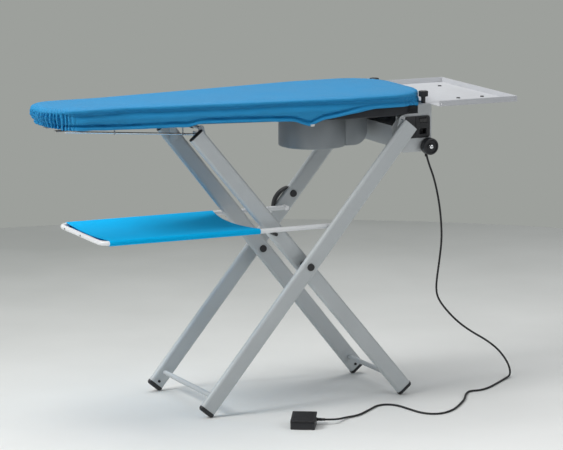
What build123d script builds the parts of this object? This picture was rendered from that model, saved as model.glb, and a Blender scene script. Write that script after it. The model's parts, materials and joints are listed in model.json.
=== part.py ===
import os
from math import atan2, cos, degrees, pi, radians, sin, tan

from build123d import *

# Folding ironing table: X runs from the nose (-) to the iron tray (+), Y across, Z up from the floor.
# The driving values are measured from the crossing of the legs in X, from the middle in Y, and from the
# floor in Z. Every piece is saved with the origin moved to the middle of the whole length.
# Every length is in millimetres and every angle in degrees.

# Scissor legs
tube_width = 50.0
tube_thick = 20.0
tube_wall = 1.5
leg_reach = 511.0
leg_angle = 50.5
outer_leg_y = 191.0
inner_foot_y = 158.5
inner_top_y = 120.0
cross_from_end = 43.0
outer_cross_r = 7.5
inner_cross_r = 7.0
cross_wall = 1.2

# Plastic ends of the leg tubes
plug_lip = 1.0
plug_reach = 12.0
plug_round = 8.0
plug_steps = 4
plug_insert = 26.0
plug_play = 0.2
top_cap = 3.0
floor_sink = 0.4
foot_screw_r = 4.0
foot_screw_h = 2.5
foot_screw_from_end = 11.0

# Pivots of the scissor and the lugs at the leg tops
bolt_r = 5.0
running_play = 0.05
cap_r = 11.0
cap_h = 4.0
cap_taper = 12.0
bush_r = 10.0
face_play = 0.3
soft_play = 0.3
hinge_x = 305.0
hinge_drop = 10.0
lug_r = 9.0
lug_t = 4.0
lug_root_r = 13.0
lug_overlap = 45.0

# Board
tip_x = -782.0
waist_x = -545.0
waist_half = 105.0
shoulder_x = 125.0
shoulder_half = 198.0
rear_x = 396.0
rear_flat_half = 68.0
nose_round = 90.0
waist_round = 300.0
shoulder_round = 400.0
leg_top_gap = 29.264
pan_depth = 44.0
pan_wall = 1.5
pan_round = 6.0
pan_side_gap = 3.0
pan_rear_x = 352.0
pan_corner = 80.0
plate_thick = 1.5
plate_hole_r = 3.0
plate_pitch = 55.0
plate_rows = 3
cover_thick = 2.5
cover_edge_rise = 12.0
crown_steps = ((0.0, 0.0), (10.0, 6.0), (24.0, 10.0), (45.0, 12.0))
# Height of the cover's lower edge over the pan's bottom, along the board
hem_line = ((-800, 13), (-722, 8), (-534, 2), (-354, 1), (-320, 9), (-142, 7), (-40, 3),
            (5, -12), (47, 5), (142, 20), (204, 29), (345, 29), (378, 18), (420, 11))

# Suction drum and its fan
drum_x = 100.0
drum_r = 100.0
drum_depth = 99.0
drum_wall = 2.0
drum_round = 4.0
outlet_x = 50.0
outlet_w = 62.0
outlet_h = 47.5
duct_half = 62.0
duct_rear_x = 250.0
duct_round = 42.0
duct_rise = 1.0
slot_wide = 90.0
slot_high = 4.0
slot_pitch = 9.0
slot_rows = 5
slot_top = 12.0
motor_r = 38.0
motor_h = 46.0
shaft_r = 4.0
fan_r = 74.0
fan_h = 24.0
fan_blades = 12
hub_r = 12.0
fan_blade_l = 56.0
fan_blade_in = 10.0
fan_blade_t = 2.0
fan_seat = 4.0
intake_r = 55.0

# Heating element under the work plate
heater_r = 3.2
heater_half = 55.0
heater_bend = 50.0
heater_nose_x = -640.0
heater_rear_x = 300.0

# Slide rails under the pan
rail_y = 42.0
shoe_r = 8.0
shoe_half = 8.0
shoe_play = 0.3
rail_lip_t = 1.5
rail_lip_drop = 2.8
rail_front_x = -725.0
rail_rear_x = -285.0
pin_inner_y = 30.0

# Release rod
rod_r = 3.0
rod_front_x = -682.0
rod_front_drop = 12.0
rod_rear_x = -270.0
rod_rear_drop = 44.0
rod_tip_rise = 8.0
rod_bend = 6.0
rod_travel = 12.0
catch_half_x = 8.0
catch_half_y = 24.0
catch_half_z = 7.0
catch_overlap = 3.0
guide_places = (-528.0, -315.0)
guide_t = 2.0
guide_half_y = 6.0
guide_ring_r = 5.5
guide_play = 0.4
guide_foot = 10.0
guide_foot_h = 6.0

# Rear frame and electrical box
sheet = 1.5
plate_y = 158.5
plate_t = 3.0
rear_end_x = 411.0
plate_drop = 114.0
plate_low_x = 318.0
plate_corner = 10.0
ear_x = 294.0
ear_drop = 18.0
upper_x = 366.0
flange_x = 372.0
box_front_x = 281.0
box_rear_x = 408.0
box_drop = 94.0
box_h = 60.0
panel_front_x = 322.0
panel_rear_x = 405.0
panel_drop = 73.0
panel_h = 65.0
panel_t = 2.5
panel_round = 8.0
groove_x = 357.5
groove_w = 1.2
fixture_x = 382.0
switch_drop = 22.0
switch_w = 26.0
switch_h = 16.0
switch_body_depth = 16.0
switch_proud = 3.0
switch_play = 0.4
rocker_in = 0.5
rocker_back = 1.5
rocker_front_trim = 2.0
rocker_back_trim = 4.0
socket_drop = 54.0
socket_w = 28.0
socket_h = 22.0
socket_depth = 26.0
socket_wall = 2.5
inlet_y = 60.0
inlet_rise = 25.0
rear_screw_r = 3.5
rear_screw_h = 2.0
screw_taper = 25.0
rear_screw_margin = 12.0

# Wheels
wheel_x = 398.0
wheel_drop = 98.0
wheel_r = 25.0
wheel_w = 24.0
wheel_gap = 1.5
wheel_round = 4.0
axle_r = 4.0
axle_cap_r = 6.5
axle_cap_h = 4.0

# Iron tray and its clamps
tray_front_x = 397.0
tray_rear_x = 656.0
tray_half = 237.0
tray_flange = 15.0
tray_hole_r = 2.5
tray_hole_in = 7.5
tray_hole_rise = 5.0
stud_r = 6.0
stud_h = 2.5
stud_taper = 20.0
stud_places = ((602, 150), (450, 150), (526, -112), (606, -112))
fork_half = 13.0
clamp_x = 384.0
clamp_r = 4.0
clamp_play = 1.0
collar_r = 6.5
knob_rise = 49.0
knob_h = 16.0
knob_r = 14.0
knob_lobes = 6
knob_notch = 5.0
knob_round = 1.5

# Laundry shelf
shelf_reach = 145.0
shelf_tube_r = 7.0
shelf_tube_wall = 1.2
shelf_boss_r = 8.0
shelf_y = 168.0
shelf_front_x = -635.0
shelf_bend = 35.0
shelf_screw_r = 2.5
shelf_screw_h = 2.5
sleeve_r = 8.2
sleeve_sag = 7.0
sleeve_front_x = -590.0
sleeve_rear_x = -148.0
sleeve_hollow = 18.0
rest_pin_r = 5.0
rest_pin_back = 6.0
rest_pin_aside = 12.3

# Carrying grip on the far outer leg
grip_span = 80.0
grip_bulge = 15.0
grip_thick = 8.0
grip_wide = 18.0
grip_foot = 9.0
grip_mid = 163.0
grip_cap_from_grip = -32.0

# Foot pedal
pedal_x = -120.0
pedal_y = -405.0
pedal_turn = -30.0
pedal_w = 70.0
pedal_l = 86.0
pedal_h = 20.0
pedal_wall = 2.5
pedal_round = 6.0
treadle_front = 6.0
treadle_back = 15.0
treadle_gap = 0.3
treadle_lift = 7.0
treadle_heel = 3.0
relief_r = 5.0
relief_l = 8.0
relief_along = 28.0
relief_z = 15.0

# Cord from the box to the pedal
cord_r = 3.0
gland_x = 400.0
gland_y = -150.0
gland_r = 7.0
gland_h = 12.0
gland_taper = 8.0
cord_drop = 18.0
cord_end_run = 34.0
cord_hang = 713.0
cord_share = 0.45
# Places along the cord, for a cord that hangs from cord_hang above its rest on the floor
cord_route = ((410, -150, 684), (426, -150, 645), (441, -149, 590), (452, -147, 530), (459, -143, 460),
              (455, -137, 395), (450, -131, 340), (450, -125, 300), (461, -118, 270), (489, -110, 236),
              (535, -98, 192), (592, -83, 152), (652, -70, 118), (702, -62, 80), (733, -66, 36),
              (727, -92, 6), (689, -120, 3), (645, -158, 3), (592, -203, 3), (549, -224, 3),
              (515, -218, 3), (485, -252, 3), (449, -312, 3), (405, -364, 3), (352, -420, 3),
              (295, -446, 3), (255, -415, 3), (245, -345, 3), (233, -280, 3), (189, -264, 3),
              (137, -310, 3), (77, -362, 4), (29, -372, 4), (-5, -400, 9))

# Places worked out from the sizes
origin_x = -(tip_x + tray_rear_x) / 2
leg_cos = cos(radians(leg_angle))
leg_sin = sin(radians(leg_angle))
foot_axis_z = (plug_round - floor_sink + (tube_width / 2 + plug_lip - plug_round) * leg_cos
               + (plug_reach - plug_round) * leg_sin)
cross_z = foot_axis_z + leg_reach * leg_sin
leg_splay = (inner_foot_y - inner_top_y) / (2 * leg_reach)
pan_bottom = cross_z + leg_reach * leg_sin + leg_top_gap
hinge_z = pan_bottom - hinge_drop
hinge_along = hinge_x * leg_cos + (hinge_z - cross_z) * leg_sin
hinge_aside = (hinge_z - cross_z) * leg_cos - hinge_x * leg_sin
outer_face = outer_leg_y - tube_thick / 2
pan_top = pan_bottom + pan_depth
plate_top = pan_top + plate_thick
cover_edge = pan_top + cover_edge_rise
pan_inset = cover_thick + pan_side_gap
rear_round = shoulder_half - rear_flat_half
drum_low = pan_bottom - drum_depth
plate_low = pan_bottom - plate_drop
plate_out = plate_y + plate_t
plate_middle = plate_y + plate_t / 2
box_low = pan_bottom - box_drop
box_high = box_low + box_h
panel_low = pan_bottom - panel_drop
switch_z = pan_bottom - switch_drop
socket_z = pan_bottom - socket_drop
wheel_z = pan_bottom - wheel_drop
tray_floor = pan_top - tray_flange
tray_rest = tray_floor - sheet
knob_low = pan_bottom + knob_rise
shelf_x = shelf_reach * leg_cos
shelf_z = cross_z + shelf_reach * leg_sin
wheel_in = plate_out + wheel_gap
wheel_out = wheel_in + wheel_w
rod_front_z = pan_bottom - rod_front_drop
rod_rear_z = pan_bottom - rod_rear_drop
rod_slope = (rod_front_z - rod_rear_z) / (rod_rear_x - rod_front_x)
os.makedirs("parts", exist_ok=True)


def save(built, name):
    built.part.label = name
    export_step(built.part.moved(Location((origin_x, 0, 0))), f"parts/{name}.step")


def outer_point(reach, side, aside=0.0):
    x = reach * leg_cos - aside * leg_sin
    return Vector(x, side * outer_leg_y, cross_z + reach * leg_sin + aside * leg_cos)


def inner_point(reach, side, aside=0.0):
    y = inner_top_y + (leg_reach - reach) * leg_splay
    x = -reach * leg_cos + aside * leg_sin
    return Vector(x, side * y, cross_z + reach * leg_sin + aside * leg_cos)


def side_plane(x, y, z):
    # Seen from the near side, with the sketch's own axes along +X and +Z
    return Plane(origin=(x, y, z), x_dir=(1, 0, 0), z_dir=(0, -1, 0))


def outward_plane(x, y, z, side):
    # Faces away from the middle on that side
    return Plane(origin=(x, side * y, z), x_dir=(1, 0, 0), z_dir=(0, side, 0))


def end_plane(point, outward):
    return Plane(origin=point, x_dir=Vector(0, 1, 0).cross(outward), z_dir=outward)


def bolt_hole(x, z, radius, low, high):
    # Cuts the part in hand along Y, from one plane to the other
    with BuildSketch(side_plane(x, high, z)) as ring:
        Circle(radius)
    extrude(ring.sketch, amount=high - low, mode=Mode.SUBTRACT)


def disc(plane, radius, height, bore=0.0, taper=0.0):
    # Adds a round piece to the part in hand
    with BuildSketch(plane) as ring:
        Circle(radius)
        if bore:
            Circle(bore, mode=Mode.SUBTRACT)
    extrude(ring.sketch, amount=height, taper=taper)


def leg_tube(foot, top):
    axis = (top - foot).normalized()
    with BuildPart() as leg:
        with BuildSketch(end_plane(foot, axis)):
            SlotOverall(tube_width, tube_thick)
            SlotOverall(tube_width - 2 * tube_wall, tube_thick - 2 * tube_wall, mode=Mode.SUBTRACT)
        extrude(amount=(top - foot).length)
    return leg


def end_plug(point, outward, lip, reach, rounding):
    bore = 2 * (tube_wall + plug_play)
    sections = []
    for step in range(plug_steps + 1):
        turn = pi / 2 * step / plug_steps
        inset = rounding * (1 - cos(turn)) - lip
        height = reach - rounding * (1 - sin(turn))
        with BuildSketch(end_plane(point + outward * height, outward)) as section:
            SlotOverall(tube_width - 2 * inset, tube_thick - 2 * inset)
        sections.append(section.sketch.face())
    with BuildPart() as plug:
        with BuildSketch(end_plane(point, outward)):
            SlotOverall(tube_width + 2 * lip, tube_thick + 2 * lip)
        extrude(amount=reach - rounding)
        loft(sections, ruled=True)
        with BuildSketch(end_plane(point, outward)):
            SlotOverall(tube_width - bore, tube_thick - bore)
        extrude(amount=-plug_insert)
    return plug.part


def end_plugs(name, legs):
    pieces = []
    for foot, top, axis in legs:
        pieces.append(end_plug(foot, -axis, plug_lip, plug_reach, plug_round))
        pieces.append(end_plug(top, axis, 0, top_cap, top_cap / 2))
    with BuildPart() as plugs:
        for piece in pieces:
            add(piece)
        split(bisect_by=Plane.XY, keep=Keep.TOP)
    save(plugs, name)


def foot_screws(name, places, gap):
    with BuildPart() as heads:
        for spot, side in places:
            face = abs(spot.Y) - tube_thick / 2 - gap
            disc(outward_plane(spot.X, face, spot.Z, side), foot_screw_r, -foot_screw_h)
    save(heads, name)


def cross_tube(name, point, half, radius):
    with BuildPart() as tube:
        disc(side_plane(point.X, half, point.Z), radius, 2 * half, bore=radius - cross_wall)
    save(tube, name)


def lug_sketch(plane):
    # A strap from the leg's flat side to the eye, laid out along the leg and up across it
    up = 1 if plane.y_dir.Z > 0 else -1
    with BuildSketch(plane) as strap:
        with Locations((hinge_along, up * hinge_aside)):
            Circle(lug_r)
        with Locations((leg_reach - lug_overlap, 0)):
            Circle(lug_root_r)
        make_hull()
    return strap.sketch


def outer_frame():
    legs = []
    feet = []
    for side, name in ((-1, "outer_leg_near"), (1, "outer_leg_far")):
        foot = outer_point(-leg_reach, side)
        top = outer_point(leg_reach, side)
        low = min(side * outer_face, side * outer_leg_y) - plug_lip
        high = max(side * outer_face, side * outer_leg_y) + plug_lip
        leg = leg_tube(foot, top)
        with leg:
            bolt_hole(0, cross_z, bolt_r, side * outer_leg_y - tube_thick, side * outer_leg_y + tube_thick)
            bolt_hole(shelf_x, shelf_z, shelf_screw_r, low, high)
        save(leg, name)
        legs.append((foot, top, (top - foot).normalized()))
        feet.append((outer_point(foot_screw_from_end - leg_reach, side), side))
    end_plugs("end_plugs_outer", legs)
    foot_screws("foot_screws_outer", feet, 0)
    cross_tube("outer_cross_tube", outer_point(cross_from_end - leg_reach, 1), outer_face, outer_cross_r)
    with BuildPart() as lugs:
        for side in (-1, 1):
            middle = (0, side * outer_face, cross_z)
            face = Plane(origin=middle, x_dir=(leg_cos, 0, leg_sin), z_dir=(0, -1, 0))
            extrude(lug_sketch(face), amount=side * lug_t)
        bolt_hole(hinge_x, hinge_z, bolt_r + running_play, -outer_leg_y, outer_leg_y)
    save(lugs, "outer_leg_lugs")


def inner_lug_plane(side):
    # Lies on the inner face of the splayed leg
    foot = inner_point(-leg_reach, side)
    axis = (inner_point(leg_reach, side) - foot).normalized()
    inward = axis.cross(Vector(0, 1, 0)).cross(axis).normalized() * -side
    middle = inner_point(0, side) + inward * (tube_thick / 2)
    return Plane(origin=middle, x_dir=axis, z_dir=inward)


def inner_frame():
    legs = []
    feet = []
    for side, name in ((-1, "inner_leg_near"), (1, "inner_leg_far")):
        foot = inner_point(-leg_reach, side)
        top = inner_point(leg_reach, side)
        middle = inner_point(0, side).Y
        leg = leg_tube(foot, top)
        with leg:
            bolt_hole(0, cross_z, bolt_r + running_play, middle - tube_thick, middle + tube_thick)
        save(leg, name)
        legs.append((foot, top, (top - foot).normalized()))
        feet.append((inner_point(foot_screw_from_end - leg_reach, side), side))
    end_plugs("end_plugs_inner", legs)
    foot_screws("foot_screws_inner", feet, foot_screw_r * leg_splay)
    spot = inner_point(cross_from_end - leg_reach, 1)
    cross_tube("inner_cross_tube", spot, spot.Y - tube_thick / 2 - inner_cross_r * leg_splay, inner_cross_r)
    eye_y = inner_point(hinge_along, 1).Y - tube_thick / 2 - lug_t / 2
    with BuildPart() as lugs:
        for side in (-1, 1):
            extrude(lug_sketch(inner_lug_plane(side)), amount=lug_t)
            disc(outward_plane(-hinge_x, pin_inner_y, hinge_z, side), bolt_r, eye_y - pin_inner_y)
    save(lugs, "inner_leg_lugs")
    with BuildPart() as shoes:
        for side in (-1, 1):
            start = rail_y - shoe_half
            disc(outward_plane(-hinge_x, start, hinge_z, side), shoe_r, 2 * shoe_half, bore=bolt_r)
    save(shoes, "slide_shoes")
    with BuildPart() as pins:
        for side in (-1, 1):
            spot = inner_point(shelf_reach - rest_pin_back, side, -rest_pin_aside)
            start = abs(spot.Y) + tube_thick / 2 + rest_pin_r * leg_splay
            disc(outward_plane(spot.X, start, spot.Z, side), rest_pin_r, shelf_y + shelf_tube_r - start)
    save(pins, "shelf_rest_pins")


def pivots():
    middle = inner_point(0, 1).Y
    inside = middle - tube_thick / 2 - cap_r * leg_splay - running_play
    outside = outer_leg_y + tube_thick / 2
    with BuildPart() as bolts:
        for side in (-1, 1):
            disc(outward_plane(0, inside, cross_z, side), bolt_r, outside - inside)
    save(bolts, "pivot_bolts")
    with BuildPart() as caps:
        for side in (-1, 1):
            disc(outward_plane(0, outside, cross_z, side), cap_r, cap_h, taper=cap_taper)
            disc(outward_plane(0, inside, cross_z, side), cap_r, -cap_h, taper=cap_taper)
    save(caps, "pivot_caps")
    start = middle + tube_thick / 2 + bush_r * leg_splay + running_play
    with BuildPart() as bushes:
        for side in (-1, 1):
            disc(outward_plane(0, start, cross_z, side), bush_r, outer_face - start, bore=bolt_r)
    save(bushes, "pivot_bushes")


def grip():
    # A bowed strip along the upper face of the far outer leg, and its bolt cap on the leg's inner face
    middle = outer_point(grip_mid, 1, tube_width / 2)
    base = Plane(origin=middle, x_dir=(leg_cos, 0, leg_sin), z_dir=(0, -1, 0))
    inner_half = grip_span / 2 - grip_foot
    with BuildPart() as strip:
        with BuildSketch(base.offset(-grip_wide / 2)):
            with BuildLine():
                outer = ThreePointArc((-grip_span / 2, 0), (0, grip_bulge), (grip_span / 2, 0))
                Line(outer @ 1, (inner_half, 0))
                ThreePointArc((inner_half, 0), (0, grip_bulge - grip_thick), (-inner_half, 0))
                Line((-inner_half, 0), outer @ 0)
            make_face()
        extrude(amount=grip_wide)
    save(strip, "leg_grip")
    spot = outer_point(grip_mid - grip_cap_from_grip, 1)
    with BuildPart() as cap:
        disc(side_plane(spot.X, outer_face, spot.Z), cap_r, cap_h, taper=cap_taper)
    save(cap, "grip_cap")


def outline(inset, rear=rear_x, corner=rear_round):
    # The board seen from above, drawn as one half and mirrored over its length
    slope = atan2(shoulder_half - waist_half, shoulder_x - waist_x)
    shift = inset * tan(slope / 2)
    with BuildSketch() as shape:
        with BuildLine():
            FilletPolyline((rear - inset, 0), (rear - inset, shoulder_half - inset),
                           (shoulder_x + shift, shoulder_half - inset), (waist_x + shift, waist_half - inset),
                           (tip_x + inset, waist_half - inset), (tip_x + inset, 0),
                           radius=[corner - inset, shoulder_round - inset,
                                   waist_round + inset, nose_round - inset])
            mirror(about=Plane.XZ)
        make_face()
    return shape.sketch


def slab(low, high, shape, mode=Mode.ADD):
    with BuildSketch(Plane.XY.offset(low)) as face:
        add(shape)
    extrude(face.sketch, amount=high - low, mode=mode)


def crown(drop, mode=Mode.ADD):
    # The padded top: its edge lies lower than its middle
    sections = []
    for inset, rise in crown_steps:
        with BuildSketch(Plane.XY.offset(cover_edge + rise - drop)) as section:
            add(outline(inset + drop))
        sections.append(section.sketch.face())
    loft(sections, ruled=True, mode=mode)


def board():
    outer_rear = pan_rear_x + pan_inset
    outer_corner = pan_corner + pan_inset
    with BuildPart() as hollow:
        slab(pan_bottom + pan_wall, pan_top, outline(pan_inset + pan_wall, outer_rear, outer_corner))
        fillet(hollow.faces().sort_by(Axis.Z)[0].edges(), radius=pan_round - pan_wall)
    with BuildPart() as pan:
        slab(pan_bottom, pan_top, outline(pan_inset, outer_rear, outer_corner))
        fillet(pan.faces().sort_by(Axis.Z)[0].edges(), radius=pan_round)
        add(hollow.part, mode=Mode.SUBTRACT)
        with BuildSketch(Plane.XY.offset(pan_bottom)):
            with Locations((drum_x, 0)):
                Circle(intake_r)
        extrude(amount=pan_wall, mode=Mode.SUBTRACT)
    save(pan, "board_pan")
    nose_in = tip_x + nose_round
    columns = int((rear_x - nose_in) / plate_pitch)
    with BuildPart() as plate:
        slab(pan_top, plate_top, outline(pan_inset))
        with BuildSketch(Plane.XY.offset(pan_top)):
            with Locations(((rear_x + nose_in) / 2, 0)):
                with GridLocations(plate_pitch, plate_pitch, columns, plate_rows):
                    Circle(plate_hole_r)
        extrude(amount=plate_thick, mode=Mode.SUBTRACT)
    save(plate, "work_plate")
    soft = cover_thick + soft_play
    with BuildPart() as felt:
        slab(plate_top, cover_edge - soft, outline(soft))
        crown(soft)
    save(felt, "felt_pad")
    hem = [(x, pan_bottom + rise) for x, rise in hem_line]
    low = min(z for x, z in hem)
    with BuildPart() as cover:
        slab(low, cover_edge, outline(0))
        crown(0)
        slab(low, cover_edge - cover_thick, outline(cover_thick), mode=Mode.SUBTRACT)
        crown(cover_thick, mode=Mode.SUBTRACT)
        with BuildSketch(side_plane(0, 2 * shoulder_half, 0)):
            with BuildLine():
                edge = Polyline(*hem)
                Polyline(edge @ 1, (hem[-1][0], low - cover_thick), (hem[0][0], low - cover_thick), edge @ 0)
            make_face()
        extrude(amount=4 * shoulder_half, mode=Mode.SUBTRACT)
    save(cover, "cover")


def heater():
    z = pan_top - heater_r
    with BuildPart() as element:
        with BuildLine():
            path = FilletPolyline((heater_rear_x, -heater_half, z), (heater_nose_x, -heater_half, z),
                                  (heater_nose_x, heater_half, z), (heater_rear_x, heater_half, z),
                                  radius=heater_bend)
        with BuildSketch(Plane(origin=path @ 0, z_dir=path % 0)):
            Circle(heater_r)
        sweep()
    save(element, "heating_element")


def drum():
    with BuildPart() as housing:
        disc(Plane(origin=(drum_x, 0, drum_low)), drum_r, drum_depth)
        fillet(housing.faces().sort_by(Axis.Z)[0].edges(), radius=drum_round)
        with BuildSketch(Plane.XY.offset(drum_low + drum_wall)):
            with Locations((drum_x, 0)):
                Circle(drum_r - drum_wall)
        extrude(amount=drum_depth, mode=Mode.SUBTRACT)
        with BuildSketch(Plane.YZ.offset(drum_x + outlet_x)):
            with Locations((0, drum_low + drum_depth / 2)):
                Rectangle(outlet_w, outlet_h)
        extrude(amount=drum_r, mode=Mode.SUBTRACT)
    save(housing, "suction_drum")
    low = drum_low + duct_rise
    with BuildPart() as duct:
        for skin, mode in ((0, Mode.ADD), (sheet, Mode.SUBTRACT)):
            with BuildSketch(side_plane(0, duct_half - skin, 0)):
                with BuildLine():
                    back = FilletPolyline((drum_x, low + skin), (duct_rear_x - skin, low + skin),
                                          (duct_rear_x - skin, pan_bottom - skin), radius=duct_round - skin)
                    Polyline(back @ 1, (drum_x, pan_bottom - skin), back @ 0)
                make_face()
            extrude(amount=2 * (duct_half - skin), mode=mode)
        with BuildSketch(Plane.XY.offset(drum_low)):
            with Locations((drum_x, 0)):
                Circle(drum_r)
        extrude(amount=drum_depth, mode=Mode.SUBTRACT)
        slot_middle = pan_bottom - slot_top - slot_pitch * (slot_rows - 1) / 2
        with BuildSketch(Plane.YZ.offset(duct_rear_x - 2 * sheet)):
            with Locations((0, slot_middle)):
                with GridLocations(slot_pitch, slot_pitch, 1, slot_rows):
                    Rectangle(slot_wide, slot_high)
        extrude(amount=3 * sheet, mode=Mode.SUBTRACT)
    save(duct, "air_duct")


def fan():
    motor_low = drum_low + drum_wall
    motor_top = motor_low + motor_h
    fan_low = motor_top + fan_seat
    with BuildPart() as motor:
        disc(Plane(origin=(drum_x, 0, motor_low)), motor_r, motor_h)
        fillet(motor.faces().sort_by(Axis.Z)[-1].edges(), radius=drum_round)
        disc(Plane(origin=(drum_x, 0, motor_top)), shaft_r, fan_seat + fan_h)
    save(motor, "fan_motor")
    with BuildPart() as impeller:
        disc(Plane(origin=(drum_x, 0, fan_low)), fan_r, fan_blade_t)
        with BuildSketch(Plane.XY.offset(fan_low + fan_blade_t)):
            with Locations((drum_x, 0)):
                Circle(hub_r)
                with PolarLocations(fan_blade_in + fan_blade_l / 2, fan_blades):
                    Rectangle(fan_blade_l, fan_blade_t)
        extrude(amount=fan_h - fan_blade_t)
        with BuildSketch(Plane.XY.offset(fan_low)):
            with Locations((drum_x, 0)):
                Circle(shaft_r + running_play)
        extrude(amount=fan_h, mode=Mode.SUBTRACT)
    save(impeller, "fan_impeller")


def rails():
    # Two inverted channels under the pan, each with its shoe inside
    roof = hinge_z + shoe_r + shoe_play
    lip = roof - rail_lip_drop
    with BuildPart() as channels:
        for side in (-1, 1):
            inner_in = side * rail_y - shoe_half - shoe_play
            inner_out = side * rail_y + shoe_half + shoe_play
            outer_in = inner_in - rail_lip_t
            outer_out = inner_out + rail_lip_t
            with BuildSketch(Plane.YZ.offset(rail_front_x)):
                with BuildLine():
                    Polyline((outer_in, pan_bottom), (outer_in, lip), (inner_in, lip), (inner_in, roof),
                             (inner_out, roof), (inner_out, lip), (outer_out, lip), (outer_out, pan_bottom),
                             close=True)
                make_face()
            extrude(amount=rail_rear_x - rail_front_x)
    save(channels, "slide_rails")


def rod_height(x):
    return rod_front_z + rod_slope * (rod_front_x - x)


def release():
    # A rod along the middle, with its front end bent up and a catch bar at its rear end
    with BuildPart() as rod:
        with BuildLine():
            path = FilletPolyline((rod_front_x, 0, rod_front_z + rod_tip_rise), (rod_front_x, 0, rod_front_z),
                                  (rod_rear_x, 0, rod_rear_z), radius=rod_bend)
        with BuildSketch(Plane(origin=path @ 0, z_dir=path % 0)):
            Circle(rod_r)
        sweep()
        with BuildSketch(Plane.XY.offset(rod_rear_z - catch_half_z)):
            with Locations((rod_rear_x + catch_half_x - catch_overlap, 0)):
                Rectangle(2 * catch_half_x, 2 * catch_half_y)
        extrude(amount=2 * catch_half_z)
    save(rod, "release_rod")
    with BuildPart() as guides:
        for x in guide_places:
            z = rod_height(x)
            with BuildSketch(Plane.YZ.offset(x - guide_t / 2)):
                with Locations((0, (z + pan_bottom) / 2)):
                    Rectangle(guide_half_y, pan_bottom - z)
                with Locations((0, z)):
                    Circle(guide_ring_r)
                    Circle(rod_r + guide_play, mode=Mode.SUBTRACT)
            extrude(amount=guide_t)
            with BuildSketch(Plane.XY.offset(pan_bottom)):
                with Locations((x, 0)):
                    Rectangle(guide_foot, 2 * guide_half_y)
            extrude(amount=-guide_foot_h)
    save(guides, "rod_guides")


def side_plate(side, name):
    with BuildPart() as plate:
        with BuildSketch(side_plane(0, side * plate_y, 0)) as face:
            with BuildLine():
                Polyline((box_front_x, box_low), (box_front_x, box_high),
                         (ear_x, pan_bottom - ear_drop), (ear_x, pan_bottom),
                         (upper_x, pan_bottom), (upper_x, tray_rest), (rear_end_x, tray_rest),
                         (rear_end_x, plate_low), (plate_low_x, plate_low), close=True)
            make_face()
            fillet(face.vertices().group_by(Axis.Y)[0], radius=plate_corner)
            with Locations((hinge_x, hinge_z)):
                Circle(bolt_r, mode=Mode.SUBTRACT)
            with Locations((wheel_x, wheel_z)):
                Circle(axle_r, mode=Mode.SUBTRACT)
            if side < 0:
                with Locations((fixture_x, socket_z)):
                    Rectangle(socket_w, socket_h, mode=Mode.SUBTRACT)
                with Locations((fixture_x, switch_z)):
                    Rectangle(switch_w, switch_h, mode=Mode.SUBTRACT)
        extrude(amount=-side * plate_t)
        with BuildSketch(Plane.XY.offset(tray_rest)):
            with Locations(((flange_x + rear_end_x) / 2, side * plate_middle)):
                Rectangle(rear_end_x - flange_x, 2 * fork_half)
        extrude(amount=-sheet)
        with BuildSketch(Plane.XY.offset(tray_rest)):
            with Locations((clamp_x, side * plate_middle)):
                Circle(clamp_r)
        extrude(amount=-sheet, mode=Mode.SUBTRACT)
    save(plate, name)


def electrics():
    length = box_rear_x - box_front_x
    middle = (box_front_x + box_rear_x) / 2
    inlet_z = box_low + inlet_rise
    with BuildPart() as box:
        with BuildSketch(Plane.XY.offset(box_low)):
            with Locations((middle, 0)):
                Rectangle(length, 2 * plate_y)
        extrude(amount=box_high - box_low)
        with BuildSketch(Plane.XY.offset(box_low + sheet)):
            with Locations((middle, 0)):
                Rectangle(length - 2 * sheet, 2 * (plate_y - sheet))
        extrude(amount=box_high - box_low, mode=Mode.SUBTRACT)
        with BuildSketch(side_plane(fixture_x, 0, socket_z)):
            Rectangle(socket_w, socket_h)
        extrude(amount=plate_y, mode=Mode.SUBTRACT)
        with BuildSketch(Plane.YZ.offset(middle)):
            with Locations((inlet_y, inlet_z)):
                Rectangle(socket_w, socket_h)
        extrude(amount=length, mode=Mode.SUBTRACT)
    save(box, "electrical_box")
    with BuildPart() as lid:
        with BuildSketch(Plane.XY.offset(box_high)):
            with Locations((middle, 0)):
                Rectangle(length, 2 * plate_y)
        extrude(amount=sheet)
    save(lid, "box_lid")
    rear_height = tray_rest - sheet - plate_low
    with BuildPart() as panel:
        with BuildSketch(Plane.YZ.offset(box_rear_x)):
            with Locations((0, plate_low + rear_height / 2)):
                Rectangle(2 * plate_y, rear_height)
            with Locations((inlet_y, inlet_z)):
                Rectangle(socket_w, socket_h, mode=Mode.SUBTRACT)
        extrude(amount=rear_end_x - box_rear_x)
    save(panel, "rear_panel")
    with BuildPart() as screws:
        for y in (rear_screw_margin - plate_y, plate_y - rear_screw_margin):
            for z in (plate_low + rear_screw_margin, tray_rest - sheet - rear_screw_margin):
                seat = Plane(origin=(rear_end_x, y, z), z_dir=(1, 0, 0))
                disc(seat, rear_screw_r, rear_screw_h, taper=screw_taper)
    save(screws, "rear_screws")
    with BuildPart() as inlet:
        with BuildSketch(Plane.YZ.offset(rear_end_x)):
            with Locations((inlet_y, inlet_z)):
                Rectangle(socket_w, socket_h)
        extrude(amount=-socket_depth)
        with BuildSketch(Plane.YZ.offset(rear_end_x)):
            with Locations((inlet_y, inlet_z)):
                Rectangle(socket_w - 2 * socket_wall, socket_h - 2 * socket_wall)
        extrude(amount=socket_wall - socket_depth, mode=Mode.SUBTRACT)
    save(inlet, "mains_inlet")


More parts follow.
